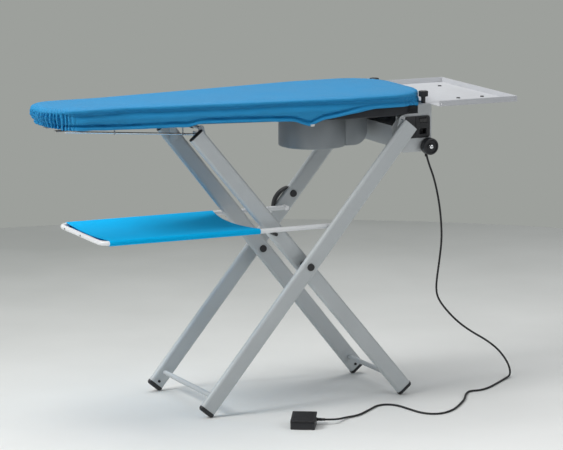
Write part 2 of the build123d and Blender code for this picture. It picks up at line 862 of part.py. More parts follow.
def control_panel():
    front = plate_out + panel_t
    with BuildPart() as panel:
        with BuildSketch(side_plane(0, -plate_out, 0)):
            with Locations(((panel_front_x + panel_rear_x) / 2, panel_low + panel_h / 2)):
                RectangleRounded(panel_rear_x - panel_front_x, panel_h, panel_round)
            with Locations((fixture_x, socket_z)):
                Rectangle(socket_w, socket_h, mode=Mode.SUBTRACT)
            with Locations((fixture_x, switch_z)):
                Rectangle(switch_w, switch_h, mode=Mode.SUBTRACT)
        extrude(amount=panel_t)
        with BuildSketch(side_plane(groove_x, -plate_out - panel_t / 2, panel_low)):
            Rectangle(groove_w, 2 * panel_h)
        extrude(amount=panel_t, mode=Mode.SUBTRACT)
    save(panel, "control_panel")
    with BuildPart() as socket:
        with BuildSketch(side_plane(fixture_x, -front, socket_z)):
            Rectangle(socket_w, socket_h)
        extrude(amount=-socket_depth)
        with BuildSketch(side_plane(fixture_x, -front, socket_z)):
            Rectangle(socket_w - 2 * socket_wall, socket_h - 2 * socket_wall)
        extrude(amount=socket_wall - socket_depth, mode=Mode.SUBTRACT)
    save(socket, "iron_socket")
    with BuildPart() as body:
        with BuildSketch(side_plane(fixture_x, -plate_y, switch_z)):
            Rectangle(switch_w + 2 * socket_wall, switch_h + socket_wall)
        extrude(amount=-switch_body_depth)
    save(body, "switch_body")
    front_half = switch_h / 2 - rocker_front_trim
    back_half = switch_h / 2 - rocker_back_trim
    back = plate_y + rocker_back
    with BuildPart() as rocker:
        with BuildSketch(Plane.YZ.offset(fixture_x - switch_w / 2 + switch_play)):
            with BuildLine():
                Polyline((-front - switch_proud, switch_z + front_half), (-front - rocker_in, switch_z),
                         (-front - rocker_in, switch_z - front_half), (-back, switch_z - back_half),
                         (-back, switch_z + back_half), close=True)
            make_face()
        extrude(amount=switch_w - 2 * switch_play)
    save(rocker, "power_switch")


def wheels():
    for side, name in ((-1, "wheel_near"), (1, "wheel_far")):
        with BuildPart() as wheel:
            disc(outward_plane(wheel_x, wheel_in, wheel_z, side), wheel_r, wheel_w)
            fillet(wheel.edges().filter_by(GeomType.CIRCLE), radius=wheel_round)
            bolt_hole(wheel_x, wheel_z, axle_r + running_play, -wheel_out - 1, wheel_out + 1)
        save(wheel, name)
    with BuildPart() as axles:
        for side in (-1, 1):
            end = wheel_out + face_play
            disc(outward_plane(wheel_x, plate_y, wheel_z, side), axle_r, end - plate_y)
            disc(outward_plane(wheel_x, end, wheel_z, side), axle_cap_r, axle_cap_h, taper=screw_taper)
    save(axles, "wheel_axles")


def rear_hinge():
    seat = outer_face - lug_t - running_play
    with BuildPart() as bolts:
        for side in (-1, 1):
            disc(outward_plane(hinge_x, plate_y, hinge_z, side), bolt_r, outer_face - plate_y - running_play)
    save(bolts, "hinge_bolts")
    with BuildPart() as bushes:
        for side in (-1, 1):
            disc(outward_plane(hinge_x, plate_out, hinge_z, side), lug_r, seat - plate_out, bore=bolt_r)
    save(bushes, "hinge_bushes")


def tray():
    length = tray_rear_x - tray_front_x
    with BuildPart() as pan:
        with BuildSketch(Plane.XY.offset(tray_rest)):
            with Locations((tray_front_x, 0)):
                Rectangle(length, 2 * tray_half, align=(Align.MIN, Align.CENTER))
        extrude(amount=sheet + tray_flange)
        with BuildSketch(Plane.XY.offset(tray_floor)):
            with Locations((tray_front_x, 0)):
                Rectangle(length - sheet, 2 * (tray_half - sheet), align=(Align.MIN, Align.CENTER))
        extrude(amount=tray_flange, mode=Mode.SUBTRACT)
        for side in (-1, 1):
            with BuildSketch(Plane.XY.offset(tray_rest)):
                with Locations(((flange_x + tray_front_x) / 2, side * plate_middle)):
                    Rectangle(tray_front_x - flange_x, 2 * fork_half)
            extrude(amount=sheet)
            with BuildSketch(Plane.XY.offset(tray_rest)):
                with Locations((clamp_x, side * plate_middle)):
                    Circle(clamp_r + clamp_play)
                with Locations(((flange_x + clamp_x) / 2, side * plate_middle)):
                    Rectangle(clamp_x - flange_x, 2 * (clamp_r + clamp_play))
            extrude(amount=sheet, mode=Mode.SUBTRACT)
        hole_x = tray_front_x + tray_hole_in
        bolt_hole(hole_x, tray_floor + tray_hole_rise, tray_hole_r, -tray_half, sheet - tray_half)
    save(pan, "iron_tray")
    with BuildPart() as studs:
        for x, y in stud_places:
            disc(Plane(origin=(x, y, tray_floor)), stud_r, stud_h, taper=stud_taper)
    save(studs, "tray_studs")


def clamps():
    with BuildPart() as bolts:
        for side in (-1, 1):
            foot = Plane(origin=(clamp_x, side * plate_middle, tray_rest - sheet))
            disc(foot, clamp_r, knob_low - tray_rest + sheet)
    save(bolts, "clamp_studs")
    seat = tray_floor + face_play
    for side, name in ((-1, "clamp_knob_near"), (1, "clamp_knob_far")):
        with BuildPart() as knob:
            disc(Plane(origin=(clamp_x, side * plate_middle, seat)), collar_r, knob_low - seat)
            with BuildSketch(Plane.XY.offset(knob_low)):
                with Locations((clamp_x, side * plate_middle)):
                    Circle(knob_r)
                    with PolarLocations(knob_r + knob_notch / 2, knob_lobes):
                        Circle(knob_notch, mode=Mode.SUBTRACT)
            extrude(amount=knob_h)
            fillet(knob.faces().sort_by(Axis.Z)[-1].edges(), radius=knob_round)
            with BuildSketch(Plane.XY.offset(seat)):
                with Locations((clamp_x, side * plate_middle)):
                    Circle(clamp_r + running_play)
            extrude(amount=knob_low + running_play - seat, mode=Mode.SUBTRACT)
        save(knob, name)


def shelf():
    with BuildPart() as frame:
        with BuildLine():
            path = FilletPolyline((shelf_x, -shelf_y, shelf_z), (shelf_front_x, -shelf_y, shelf_z),
                                  (shelf_front_x, shelf_y, shelf_z), (shelf_x, shelf_y, shelf_z),
                                  radius=shelf_bend)
        with BuildSketch(Plane(origin=path @ 0, z_dir=path % 0)):
            Circle(shelf_tube_r)
            Circle(shelf_tube_r - shelf_tube_wall, mode=Mode.SUBTRACT)
        sweep()
        start = shelf_y - shelf_boss_r
        for side in (-1, 1):
            disc(outward_plane(shelf_x, start, shelf_z, side), shelf_boss_r, outer_face - face_play - start)
        bolt_hole(shelf_x, shelf_z, shelf_screw_r + running_play, -outer_leg_y, outer_leg_y)
    save(frame, "shelf_frame")
    head = start - running_play
    with BuildPart() as screws:
        for side in (-1, 1):
            disc(outward_plane(shelf_x, head, shelf_z, side), shelf_screw_r, outer_leg_y - head)
            disc(outward_plane(shelf_x, head, shelf_z, side), shelf_tube_r, -shelf_screw_h)
    save(screws, "shelf_screws")
    upper = shelf_z + sleeve_r
    lower = shelf_z - sleeve_r
    with BuildPart() as sleeve:
        with BuildSketch(Plane.YZ.offset(sleeve_front_x)):
            with BuildLine():
                top = ThreePointArc((-shelf_y, upper), (0, upper - sleeve_sag), (shelf_y, upper))
                far = ThreePointArc(top @ 1, (shelf_y + sleeve_r, shelf_z), (shelf_y, lower))
                low = ThreePointArc(far @ 1, (0, lower - sleeve_sag), (-shelf_y, lower))
                ThreePointArc(low @ 1, (-shelf_y - sleeve_r, shelf_z), top @ 0)
            make_face()
            with Locations((-shelf_y, shelf_z), (shelf_y, shelf_z)):
                Circle(shelf_tube_r + soft_play, mode=Mode.SUBTRACT)
        extrude(amount=sleeve_rear_x - sleeve_front_x)
        with BuildSketch(Plane.XY.offset(lower - 2 * sleeve_sag)):
            with BuildLine():
                bow = ThreePointArc((sleeve_rear_x, sleeve_r - shelf_y), (sleeve_rear_x - sleeve_hollow, 0),
                                    (sleeve_rear_x, shelf_y - sleeve_r))
                Line(bow @ 1, bow @ 0)
            make_face()
        extrude(amount=2 * sleeve_r + 3 * sleeve_sag, mode=Mode.SUBTRACT)
    save(sleeve, "shelf_fabric")


def pedal_plane(along, across, height):
    # A point on the pedal, given in its own directions
    turn = radians(pedal_turn)
    along_dir = Vector(cos(turn), sin(turn), 0)
    across_dir = Vector(-sin(turn), cos(turn), 0)
    point = Vector(pedal_x, pedal_y, height) + along_dir * along + across_dir * across
    return Plane(origin=point, x_dir=across_dir, z_dir=along_dir)


def cord():
    face = pedal_plane(pedal_w / 2, relief_along, relief_z)
    exit_z = box_low - gland_h
    run_out = [Vector(gland_x, gland_y, exit_z), Vector(gland_x, gland_y, exit_z - cord_drop)]
    run_in = [face.offset(relief_l + cord_end_run).origin, face.offset(relief_l).origin]
    hang = (run_out[1].Z - cord_r) / cord_hang
    points = run_out + [Vector(x, y, cord_r + (z - cord_r) * hang) for x, y, z in cord_route] + run_in
    radii = []
    for before, here, after in zip(points, points[1:], points[2:]):
        turn = radians((here - before).get_angle(after - here))
        shorter = min((here - before).length, (after - here).length)
        radii.append(cord_share * shorter / tan(turn / 2))
    with BuildPart() as tube:
        with BuildLine():
            path = FilletPolyline(*points, radius=radii)
        with BuildSketch(Plane(origin=path @ 0, z_dir=path % 0)):
            Circle(cord_r)
        sweep()
    save(tube, "pedal_cord")
    with BuildPart() as gland:
        disc(Plane(origin=(gland_x, gland_y, box_low)), gland_r, -gland_h, taper=gland_taper)
    save(gland, "cord_gland")
    with BuildPart() as relief:
        disc(face, relief_r, relief_l)
    save(relief, "pedal_relief")
    print("cord runs", [round((b - a).length) for a, b in zip(points, points[1:])])
    print("cord radii", [round(r) for r in radii])
    print("cord length", round(path.length, 1))
    section = pi * cord_r**2
    print("cord volume over section times length", round(tube.part.volume / (section * path.length), 4))
    print("cord points", [tuple(round(v, 1) for v in (p.X + origin_x, p.Y, p.Z)) for p in points])


def pedal():
    turn = radians(pedal_turn)
    floor = Plane(origin=(pedal_x, pedal_y, 0), x_dir=(cos(turn), sin(turn), 0), z_dir=(0, 0, 1))
    with BuildPart() as base:
        with BuildSketch(floor):
            RectangleRounded(pedal_w, pedal_l, pedal_round)
        extrude(amount=pedal_h)
        with BuildSketch(floor.offset(pedal_wall)):
            RectangleRounded(pedal_w - 2 * pedal_wall, pedal_l - 2 * pedal_wall, pedal_round - pedal_wall)
        extrude(amount=pedal_h, mode=Mode.SUBTRACT)
    save(base, "pedal_base")
    half = pedal_l / 2
    low = pedal_h + treadle_gap
    with BuildPart() as treadle:
        with BuildSketch(pedal_plane(-pedal_w / 2, 0, 0)):
            with BuildLine():
                Polyline((-half, low), (-half, pedal_h + treadle_front), (half, pedal_h + treadle_back),
                         (half, pedal_h + treadle_lift), (treadle_heel - half, low), close=True)
            make_face()
        extrude(amount=pedal_w)
    save(treadle, "pedal_treadle")
    heel = pedal_plane(0, -half, low)
    print("treadle hinge", [round(v, 2) for v in (heel.origin.X + origin_x, heel.origin.Y, heel.origin.Z)],
          "axis", [round(v, 4) for v in heel.z_dir])


outer_frame()
inner_frame()
pivots()
grip()
board()
heater()
drum()
fan()
rails()
release()
side_plate(-1, "side_plate_near")
side_plate(1, "side_plate_far")
electrics()
control_panel()
wheels()
rear_hinge()
tray()
clamps()
shelf()
cord()
pedal()
print("origin shift", origin_x, "crossing z", round(cross_z, 3), "hinge", hinge_x, round(hinge_z, 3))
print("shelf hinge", round(shelf_x, 2), round(shelf_z, 2))
print("fold line", round(degrees(atan2(hinge_z - cross_z, hinge_x)), 3))
print("rod slides along", round(-cos(atan2(rod_slope, 1)), 5), round(sin(atan2(rod_slope, 1)), 5))
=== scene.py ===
"""Looks of a folding ironing table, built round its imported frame.

Lengths are in metres and angles in degrees where nothing else is said.
"""

import json
import logging
import math
from dataclasses import dataclass
from enum import Enum
from typing import Sequence

import bpy
import numpy as np
from mathutils import Matrix, Vector, noise

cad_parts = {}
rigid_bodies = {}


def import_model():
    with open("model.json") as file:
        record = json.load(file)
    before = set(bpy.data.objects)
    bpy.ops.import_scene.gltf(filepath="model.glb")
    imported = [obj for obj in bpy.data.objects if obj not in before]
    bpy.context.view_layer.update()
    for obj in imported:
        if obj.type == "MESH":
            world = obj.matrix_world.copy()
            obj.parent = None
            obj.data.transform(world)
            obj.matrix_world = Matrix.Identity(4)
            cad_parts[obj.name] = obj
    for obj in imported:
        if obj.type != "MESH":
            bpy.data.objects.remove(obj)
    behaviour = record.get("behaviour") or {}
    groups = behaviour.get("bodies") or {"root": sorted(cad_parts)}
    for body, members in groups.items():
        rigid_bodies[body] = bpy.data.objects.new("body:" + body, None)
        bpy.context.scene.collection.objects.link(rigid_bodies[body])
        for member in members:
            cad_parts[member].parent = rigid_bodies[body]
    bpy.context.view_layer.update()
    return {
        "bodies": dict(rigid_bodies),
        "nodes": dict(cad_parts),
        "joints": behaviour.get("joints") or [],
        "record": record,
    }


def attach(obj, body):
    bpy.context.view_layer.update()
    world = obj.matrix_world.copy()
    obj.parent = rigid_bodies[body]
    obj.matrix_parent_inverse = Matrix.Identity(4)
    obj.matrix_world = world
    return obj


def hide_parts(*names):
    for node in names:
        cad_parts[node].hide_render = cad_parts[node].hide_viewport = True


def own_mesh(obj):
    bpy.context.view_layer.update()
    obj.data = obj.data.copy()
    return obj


LOG = logging.getLogger("ironing_table")

Colour = tuple[int, int, int]
Piece = bpy.types.Object
Socket = bpy.types.NodeSocket
Stations = dict[str, np.ndarray]


def linear(colour: Colour, level: float = 1.0) -> tuple[float, float, float, float]:
    """Turns a screen colour into the renderer's own scale.

    Args:
        colour: Red, green and blue from 0 to 255.
        level: What the colour is multiplied by.

    Returns:
        Red, green, blue and alpha.
    """
    parts = [c / 255 for c in colour]
    parts = [c / 12.92 if c <= 0.04045 else ((c + 0.055) / 1.055) ** 2.4 for c in parts]
    return (*(min(1.0, c * level) for c in parts), 1.0)


def ease(t: np.ndarray | float) -> np.ndarray | float:
    """Goes smoothly from 0 to 1 as t does, and stays there outside."""
    t = np.clip(t, 0.0, 1.0)
    return t * t * (3 - 2 * t)


def wave(x: float, y: float = 0.0, z: float = 0.0) -> float:
    """A smooth random height from about -1 to 1 that is the same in every run."""
    return noise.noise(Vector((x, y, z)))


def waves(x: np.ndarray, y: float = 0.0, z: float = 0.0) -> np.ndarray:
    """The same smooth random heights at each place of a row."""
    return np.array([wave(v, y, z) for v in x])


def in_metres(rows: Sequence[Sequence[float]]) -> list[tuple[float, ...]]:
    """Turns rows of millimetres into metres."""
    return [tuple(v / 1000 for v in row) for row in rows]


class Shader:
    """A node material that is being put together."""

    def __init__(self, name: str, roughness: float, metallic: float = 0.0) -> None:
        """Starts a material with one surface shader."""
        self.material = bpy.data.materials.new(name)
        self.material.use_nodes = True
        self.tree = self.material.node_tree
        self.surface = self.tree.nodes["Principled BSDF"]
        self.put("Roughness", roughness)
        self.put("Metallic", metallic)
        coordinates = self.tree.nodes.new("ShaderNodeTexCoord")
        self.place = coordinates.outputs["Object"]
        self.laid = coordinates.outputs["UV"]

    def join(self, value: object, socket: Socket) -> None:
        """Links a socket, or sets a plain value."""
        if isinstance(value, bpy.types.NodeSocket):
            self.tree.links.new(value, socket)
        else:
            socket.default_value = value

    def put(self, name: str, value: object) -> None:
        """Gives the surface shader one of its inputs."""
        self.join(value, self.surface.inputs[name])

    def node(self, kind: str, inputs: dict, **settings: object) -> bpy.types.Node:
        """Adds a node.

        Args:
            kind: The node's type after its common prefix.
            inputs: Values or sockets by input name or number.
            settings: The node's own settings.

        Returns:
            The new node.
        """
        made = self.tree.nodes.new("ShaderNode" + kind)
        for name, value in settings.items():
            setattr(made, name, value)
        for name, value in inputs.items():
            self.join(value, made.inputs[name])
        return made

    def stretched(self, source: Socket, scale: Sequence[float]) -> Socket:
        """Scales coordinates along each axis."""
        return self.node("Mapping", {"Vector": source, "Scale": scale}).outputs["Vector"]

    def cloud(self, source: Socket, scale: float, detail: float = 2.0) -> Socket:
        """Soft random spots, with that many to a metre."""
        return self.node("TexNoise", {"Vector": source, "Scale": scale, "Detail": detail}).outputs["Fac"]

    def bands(self, source: Socket, axis: str, pitch: float) -> Socket:
        """Round ridges across an axis, one to each pitch."""
        ridge = {"Vector": source, "Scale": math.pi / 10 / pitch}
        return self.node("TexWave", ridge, wave_type="BANDS", bands_direction=axis).outputs["Fac"]

    def ramp(self, value: Socket, low: float, high: float, new_low: float, new_high: float) -> Socket:
        """Maps one range onto another, and stays inside it."""
        sockets = {"Value": value, "From Min": low, "From Max": high, "To Min": new_low, "To Max": new_high}
        return self.node("MapRange", sockets).outputs["Result"]

    def math(self, operation: str, a: object, b: object) -> Socket:
        """Works out one number from two."""
        return self.node("Math", {0: a, 1: b}, operation=operation).outputs["Value"]

    def mixed(self, share: object, a: object, b: object) -> Socket:
        """Blends two colours."""
        return self.node("Mix", {0: share, 6: a, 7: b}, data_type="RGBA").outputs[2]

    def relief(self, height: Socket, depth: float, under: Socket | None = None) -> Socket:
        """Raises the surface by a height from 0 to 1 times the depth in metres."""
        inputs = {"Height": height, "Distance": depth, "Strength": 1.0}
        if under is not None:
            inputs["Normal"] = under
        return self.node("Bump", inputs).outputs["Normal"]


@dataclass(frozen=True)
class PowderCoat:
    """Baked powder coat: a fine orange peel, faint clouds in the colour, fine pale flecks, and a gloss that
    varies in soft patches.
    """

    name: str
    colour: Colour
    roughness: float = 0.42
    metallic: float = 0.0
    peel: float = 0.00005

    def make(self) -> bpy.types.Material:
        """Makes the material."""
        shader = Shader(self.name, self.roughness, self.metallic)
        broad = shader.cloud(shader.place, 7.0, 4.0)
        fleck = shader.cloud(shader.place, 1600.0, 1.0)
        tone = shader.mixed(broad, linear(self.colour, 0.93), linear(self.colour, 1.06))
        speck = shader.ramp(fleck, 0.35, 0.7, 0.0, 0.16)
        shader.put("Base Color", shader.mixed(speck, tone, linear(self.colour, 1.25)))
        handled = shader.cloud(shader.place, 38.0, 5.0)
        shader.put("Roughness", shader.ramp(handled, 0.3, 0.72, self.roughness - 0.06, self.roughness + 0.1))
        shader.put("Normal", shader.relief(shader.cloud(shader.place, 620.0, 2.0), self.peel))
        return shader.material


@dataclass(frozen=True)
class Weave:
    """Plain-woven cloth with slubs in its threads, a soft nap, and painted shade in the hollows between
    threads.

    Its threads follow the piece's own map, which is in metres.
    """

    name: str
    colour: Colour
    pitch: float = 0.0009
    depth: float = 0.00014
    nap: float = 0.25
    fade: float = 0.06
    gloss: float = 0.3
    roughness: float = 0.78
    slub_long: float = 26.0
    slub_short: float = 900.0

    def make(self) -> bpy.types.Material:
        """Makes the material."""
        shader = Shader(self.name, self.roughness)
        warp = shader.bands(shader.laid, "X", self.pitch)
        weft = shader.bands(shader.laid, "Y", self.pitch)
        threads = shader.math("MULTIPLY", warp, weft)
        runs = ((self.slub_long, self.slub_short, 1.0), (self.slub_short, self.slub_long, 1.0))
        along, across = [shader.cloud(shader.stretched(shader.laid, run), 1.0, 3.0) for run in runs]
        slubs = shader.math("ADD", along, across)
        worn = shader.cloud(shader.laid, 5.5, 5.0)
        faded, fresh = linear(self.colour, 1.0 - self.fade), linear(self.colour, 1.0 + self.fade)
        ground = shader.mixed(worn, faded, fresh)
        yarn = shader.mixed(shader.ramp(slubs, 0.75, 1.25, 0.0, 0.2), ground, linear(self.colour, 1.18))
        # Painted shade: where the threads' relief is low, the colour is darkened towards 0.6 of itself.
        painted_pit_shade = shader.ramp(threads, 0.0, 0.5, 0.22, 0.0)
        shader.put("Base Color", shader.mixed(painted_pit_shade, yarn, linear(self.colour, 0.6)))
        shader.put("Roughness", shader.ramp(worn, 0.3, 0.7, self.roughness - 0.08, self.roughness + 0.08))
        shader.put("Specular IOR Level", self.gloss)
        shader.put("Sheen Weight", self.nap)
        shader.put("Sheen Roughness", 0.45)
        fine = shader.relief(threads, self.depth)
        shader.put("Normal", shader.relief(slubs, self.depth * 0.7, fine))
        return shader.material


@dataclass(frozen=True)
class Felt:
    """Pressed felt with short fibres that lie every way."""

    name: str
    colour: Colour

    def make(self) -> bpy.types.Material:
        """Makes the material."""
        shader = Shader(self.name, 0.95)
        fibres = shader.cloud(shader.stretched(shader.place, (500.0, 900.0, 300.0)), 1.0, 6.0)
        tufts = shader.cloud(shader.place, 45.0, 4.0)
        tone = shader.mixed(tufts, linear(self.colour, 0.88), linear(self.colour, 1.06))
        between = shader.ramp(fibres, 0.4, 0.6, 0.0, 0.3)
        shader.put("Base Color", shader.mixed(between, tone, linear(self.colour, 0.7)))
        shader.put("Sheen Weight", 0.4)
        shader.put("Normal", shader.relief(fibres, 0.0004))
        return shader.material


@dataclass(frozen=True)
class Moulded:
    """Moulded plastic or rubber: a fine spark grain, rubbed smoother where it is touched."""

    name: str
    colour: Colour
    roughness: float = 0.45
    grain: float = 0.00006
    grain_scale: float = 1100.0

    def make(self) -> bpy.types.Material:
        """Makes the material."""
        shader = Shader(self.name, self.roughness)
        spark = shader.cloud(shader.place, self.grain_scale, 2.0)
        dust = shader.cloud(shader.place, 24.0, 5.0)
        dusty = shader.ramp(dust, 0.45, 0.75, 0.0, 0.5)
        tone = shader.mixed(dusty, linear(self.colour), linear(self.colour, 1.8))
        glint = shader.ramp(spark, 0.5, 0.8, 0.0, 0.35)
        shader.put("Base Color", shader.mixed(glint, tone, linear(self.colour, 1.6)))
        shader.put("Roughness", shader.ramp(dust, 0.3, 0.75, self.roughness - 0.07, self.roughness + 0.12))
        shader.put("Normal", shader.relief(spark, self.grain))
        return shader.material


class Brushed(Enum):
    """Which way a metal's fine lines run, as their number to a metre along each axis."""

    LONG = (12.0, 1400.0, 1400.0)
    NONE = (420.0, 420.0, 420.0)


@dataclass(frozen=True)
class Metal:
    """Bare or plated metal with fine lines and a few stains."""

    name: str
    colour: Colour
    roughness: float = 0.3
    lines: Brushed = Brushed.NONE
    depth: float = 0.00002

    def make(self) -> bpy.types.Material:
        """Makes the material."""
        shader = Shader(self.name, self.roughness, 1.0)
        scratch = shader.cloud(shader.stretched(shader.place, self.lines.value), 1.0, 3.0)
        stain = shader.cloud(shader.place, 30.0, 5.0)
        shader.put("Base Color", shader.mixed(stain, linear(self.colour, 0.85), linear(self.colour, 1.05)))
        smear = shader.math("ADD", scratch, stain)
        shader.put("Roughness", shader.ramp(smear, 0.7, 1.3, self.roughness - 0.08, self.roughness + 0.12))
        shader.put("Normal", shader.relief(scratch, self.depth))
        return shader.material


FINISHES = {
    "cover_cloth": Weave("cover_cloth", (24, 138, 194), nap=0.04, gloss=0.34, roughness=0.56),
    "shelf_cloth": Weave("shelf_cloth", (0, 180, 243), pitch=0.0011, nap=0.0, fade=0.03, gloss=0.1),
    "felt": Felt("felt", (214, 208, 196)),
    "pan_paint": PowderCoat("pan_paint", (16, 21, 28), 0.55),
    "drum_paint": PowderCoat("drum_paint", (140, 146, 150), 0.36, 0.3),
    "housing_paint": PowderCoat("housing_paint", (186, 190, 192), 0.42, 0.1),
    "leg_paint": PowderCoat("leg_paint", (186, 191, 193), 0.5, 0.05),
    "tray_paint": PowderCoat("tray_paint", (190, 192, 196), 0.4),
    "frame_white": PowderCoat("frame_white", (226, 228, 230), 0.35),
    "bare_steel": Metal("bare_steel", (190, 190, 188), 0.34, Brushed.LONG),
    "chrome": Metal("chrome", (232, 234, 236), 0.12),
    "black_plastic": Moulded("black_plastic", (30, 31, 34), 0.42),
    "black_gloss": Moulded("black_gloss", (22, 22, 25), 0.2, 0.00001),
    "black_rubber": Moulded("black_rubber", (26, 26, 28), 0.6, 0.00003),
    "pale_tape": Weave("pale_tape", (226, 226, 222), pitch=0.0007, nap=0.1, fade=0.04),
}


class Wardrobe:
    """Keeps each finish's material once, and dresses pieces in it."""

    def __init__(self, frame: dict) -> None:
        """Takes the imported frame, whose record names each node's own slot."""
        self.nodes = frame["nodes"]
        self.slots = {row["node"]: row["material_slot"] for row in frame["record"]["subparts"]}
        self.known = {row["slot"] for row in frame["record"]["materials"]}
        self.made: dict[str, bpy.types.Material] = {}

    def material(self, finish: str) -> bpy.types.Material:
        """Makes a finish's material the first time it is asked for."""
        if finish not in self.made:
            self.made[finish] = FINISHES[finish].make()
        return self.made[finish]

    def dress(self, piece: Piece, finish: str) -> Piece:
        """Gives a piece one finish all over.

        Args:
            piece: The piece.
            finish: The finish's name.

        Returns:
            The same piece.
        """
        piece.data.materials.clear()
        piece.data.materials.append(self.material(finish))
        return piece

    def dress_nodes(self) -> None:
        """Gives every node the finish that the record names for it."""
        for name, node in self.nodes.items():
            node.data.materials.clear()
            node.data.materials.append(self.material(self.slots[name]))

    def place(self, piece: Piece, body: str, finish: str, *nodes: str) -> Piece:
        """Dresses a finished piece, lets it ride on a body and stand for nodes.

        Args:
            piece: The piece.
            body: The body it rides on.
            finish: The finish's name.
            nodes: The nodes that it replaces.

        Returns:
            The same piece.
        """
        self.dress(piece, finish)
        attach(piece, body)
        if nodes:
            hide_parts(*nodes)
        LOG.info("%s on %s", piece.name, body)
        return piece


class Bench:
    """Modelling steps that work on one piece at a time."""

    doubles: float = 2e-6
    node_doubles: float = 1e-6
    flat_within: float = 0.4
    sharp_from: float = 38.0

    @staticmethod
    def rest() -> None:
        """Leaves edit mode and deselects everything."""
        if bpy.context.mode != "OBJECT":
            bpy.ops.object.mode_set(mode="OBJECT")
        bpy.ops.object.select_all(action="DESELECT")

    @staticmethod
    def hold(piece: Piece) -> Piece:
        """Makes one piece the selected, active one, and returns it."""
        Bench.rest()
        piece.select_set(True)
        bpy.context.view_layer.objects.active = piece
        return piece

    @staticmethod
    def edit(piece: Piece) -> None:
        """Opens a piece in edit mode with all of it selected."""
        Bench.hold(piece)
        bpy.ops.object.mode_set(mode="EDIT")
        bpy.ops.mesh.select_all(action="SELECT")

    @staticmethod
    def blank(name: str, points: Sequence, edges: Sequence = (), faces: Sequence = ()) -> Piece:
        """Makes a piece from points, edges and faces.

        Args:
            name: The piece's name.
            points: The place of each point.
            edges: Pairs of point numbers.
            faces: The point numbers of each face, in turn.

        Returns:
            The new piece, selected and active.
        """
        mesh = bpy.data.meshes.new(name)
        mesh.from_pydata([tuple(p) for p in points], edges, faces)
        piece = bpy.data.objects.new(name, mesh)
        bpy.context.scene.collection.objects.link(piece)
        return Bench.hold(piece)

    @staticmethod
    def named(name: str) -> Piece:
        """Names the primitive that was just added, and puts its place into its mesh.

        Args:
            name: The piece's name.

        Returns:
            The primitive.
        """
        piece = bpy.context.active_object
        piece.name = name
        piece.data.name = name
        Bench.hold(piece)
        bpy.ops.object.transform_apply(location=True, rotation=True, scale=True)
        return piece

    @staticmethod
    def block(name: str, size: Sequence[float]) -> Piece:
        """Makes a block round the origin.

        Args:
            name: The piece's name.
            size: Its length along each axis.

        Returns:
            The block.
        """
        Bench.rest()
        bpy.ops.mesh.primitive_cube_add(size=1)
        piece = Bench.named(name)
        piece.data.transform(Matrix.Diagonal((*size, 1)))
        return piece

    @staticmethod
    def apply(piece: Piece, kind: str, **settings: object) -> Piece:
        """Adds a modifier and applies it.

        Args:
            piece: The piece it goes on.
            kind: The modifier's type.
            settings: The modifier's own settings.

        Returns:
            The same piece.
        """
        Bench.hold(piece)
        modifier = piece.modifiers.new(kind.title(), kind)
        for name, value in settings.items():
            setattr(modifier, name, value)
        bpy.ops.object.modifier_apply(modifier=modifier.name)
        return piece

    @staticmethod
    def smooth(piece: Piece, angle: float = 35.0) -> Piece:
        """Shades faces smooth where they meet at less than an angle, and returns the piece."""
        Bench.hold(piece)
        bpy.ops.object.shade_smooth_by_angle(angle=math.radians(angle))
        return piece

    @staticmethod
    def soften(piece: Piece, width: float, segments: int = 2) -> Piece:
        """Rounds the sharp edges of a piece.

        Args:
            piece: The piece.
            width: How wide the rounding is.
            segments: How many faces go across it.

        Returns:
            The same piece.
        """
        Bench.apply(piece, "BEVEL", width=width, segments=segments, limit_method="ANGLE",
                    angle_limit=math.radians(Bench.sharp_from), use_clamp_overlap=True,
                    harden_normals=False)
        return Bench.smooth(piece)

    @staticmethod
    def outward(piece: Piece) -> Piece:
        """Merges doubles and points every face outwards.

        Args:
            piece: The piece.

        Returns:
            The same piece.
        """
        Bench.edit(piece)
        bpy.ops.mesh.remove_doubles(threshold=Bench.doubles)
        bpy.ops.mesh.normals_make_consistent(inside=False)
        Bench.rest()
        return piece

    @staticmethod
    def copy_of(node: Piece, name: str) -> Piece:
        """Copies a node's mesh, merged and with its flat faces whole.

        Args:
            node: The node, which stays as it is.
            name: The new piece's name.

        Returns:
            The new piece.
        """
        piece = bpy.data.objects.new(name, node.data.copy())
        bpy.context.scene.collection.objects.link(piece)
        Bench.hold(piece)
        if piece.data.has_custom_normals:
            bpy.ops.mesh.customdata_custom_splitnormals_clear()
        Bench.edit(piece)
        bpy.ops.mesh.remove_doubles(threshold=Bench.node_doubles)
        bpy.ops.mesh.dissolve_limited(angle_limit=math.radians(Bench.flat_within))
        Bench.rest()
        return piece

    @staticmethod
    def turned(name: str, profile: Sequence[Sequence[float]], place: Matrix, steps: int = 48) -> Piece:
        """Spins a profile round an axis.

        Args:
            name: The piece's name.
            profile: Radius and height of each point.
            place: Where the axis, the local Z, goes.
            steps: How many faces go round.

        Returns:
            The turned piece.
        """
        points = [(r, 0.0, z) for r, z in profile]
        piece = Bench.blank(name, points, [(i, i + 1) for i in range(len(points) - 1)])
        Bench.edit(piece)
        bpy.ops.mesh.spin(steps=steps, angle=2 * math.pi, center=(0, 0, 0), axis=(0, 0, 1))
        Bench.rest()
        Bench.outward(piece)
        piece.data.transform(place)
        return Bench.smooth(piece, 32.0)

    @staticmethod
    def joined(name: str, pieces: Sequence[Piece]) -> Piece:
        """Makes one piece of several.

        Args:
            name: Its name.
            pieces: The pieces, the first of which takes up the others.

        Returns:
            The joined piece.
        """
        Bench.hold(pieces[0])
        for piece in pieces[1:]:
            piece.select_set(True)
        if len(pieces) > 1:
            bpy.ops.object.join()
        pieces[0].name = name
        pieces[0].data.name = name
        return pieces[0]


def facing(point: Sequence[float], axis: Sequence[float]) -> Matrix:
    """A placement whose local Z runs along an axis from a point."""
    turn = Vector(axis).to_track_quat("Z", "X").to_matrix().to_4x4()
    return Matrix.Translation(Vector(point)) @ turn


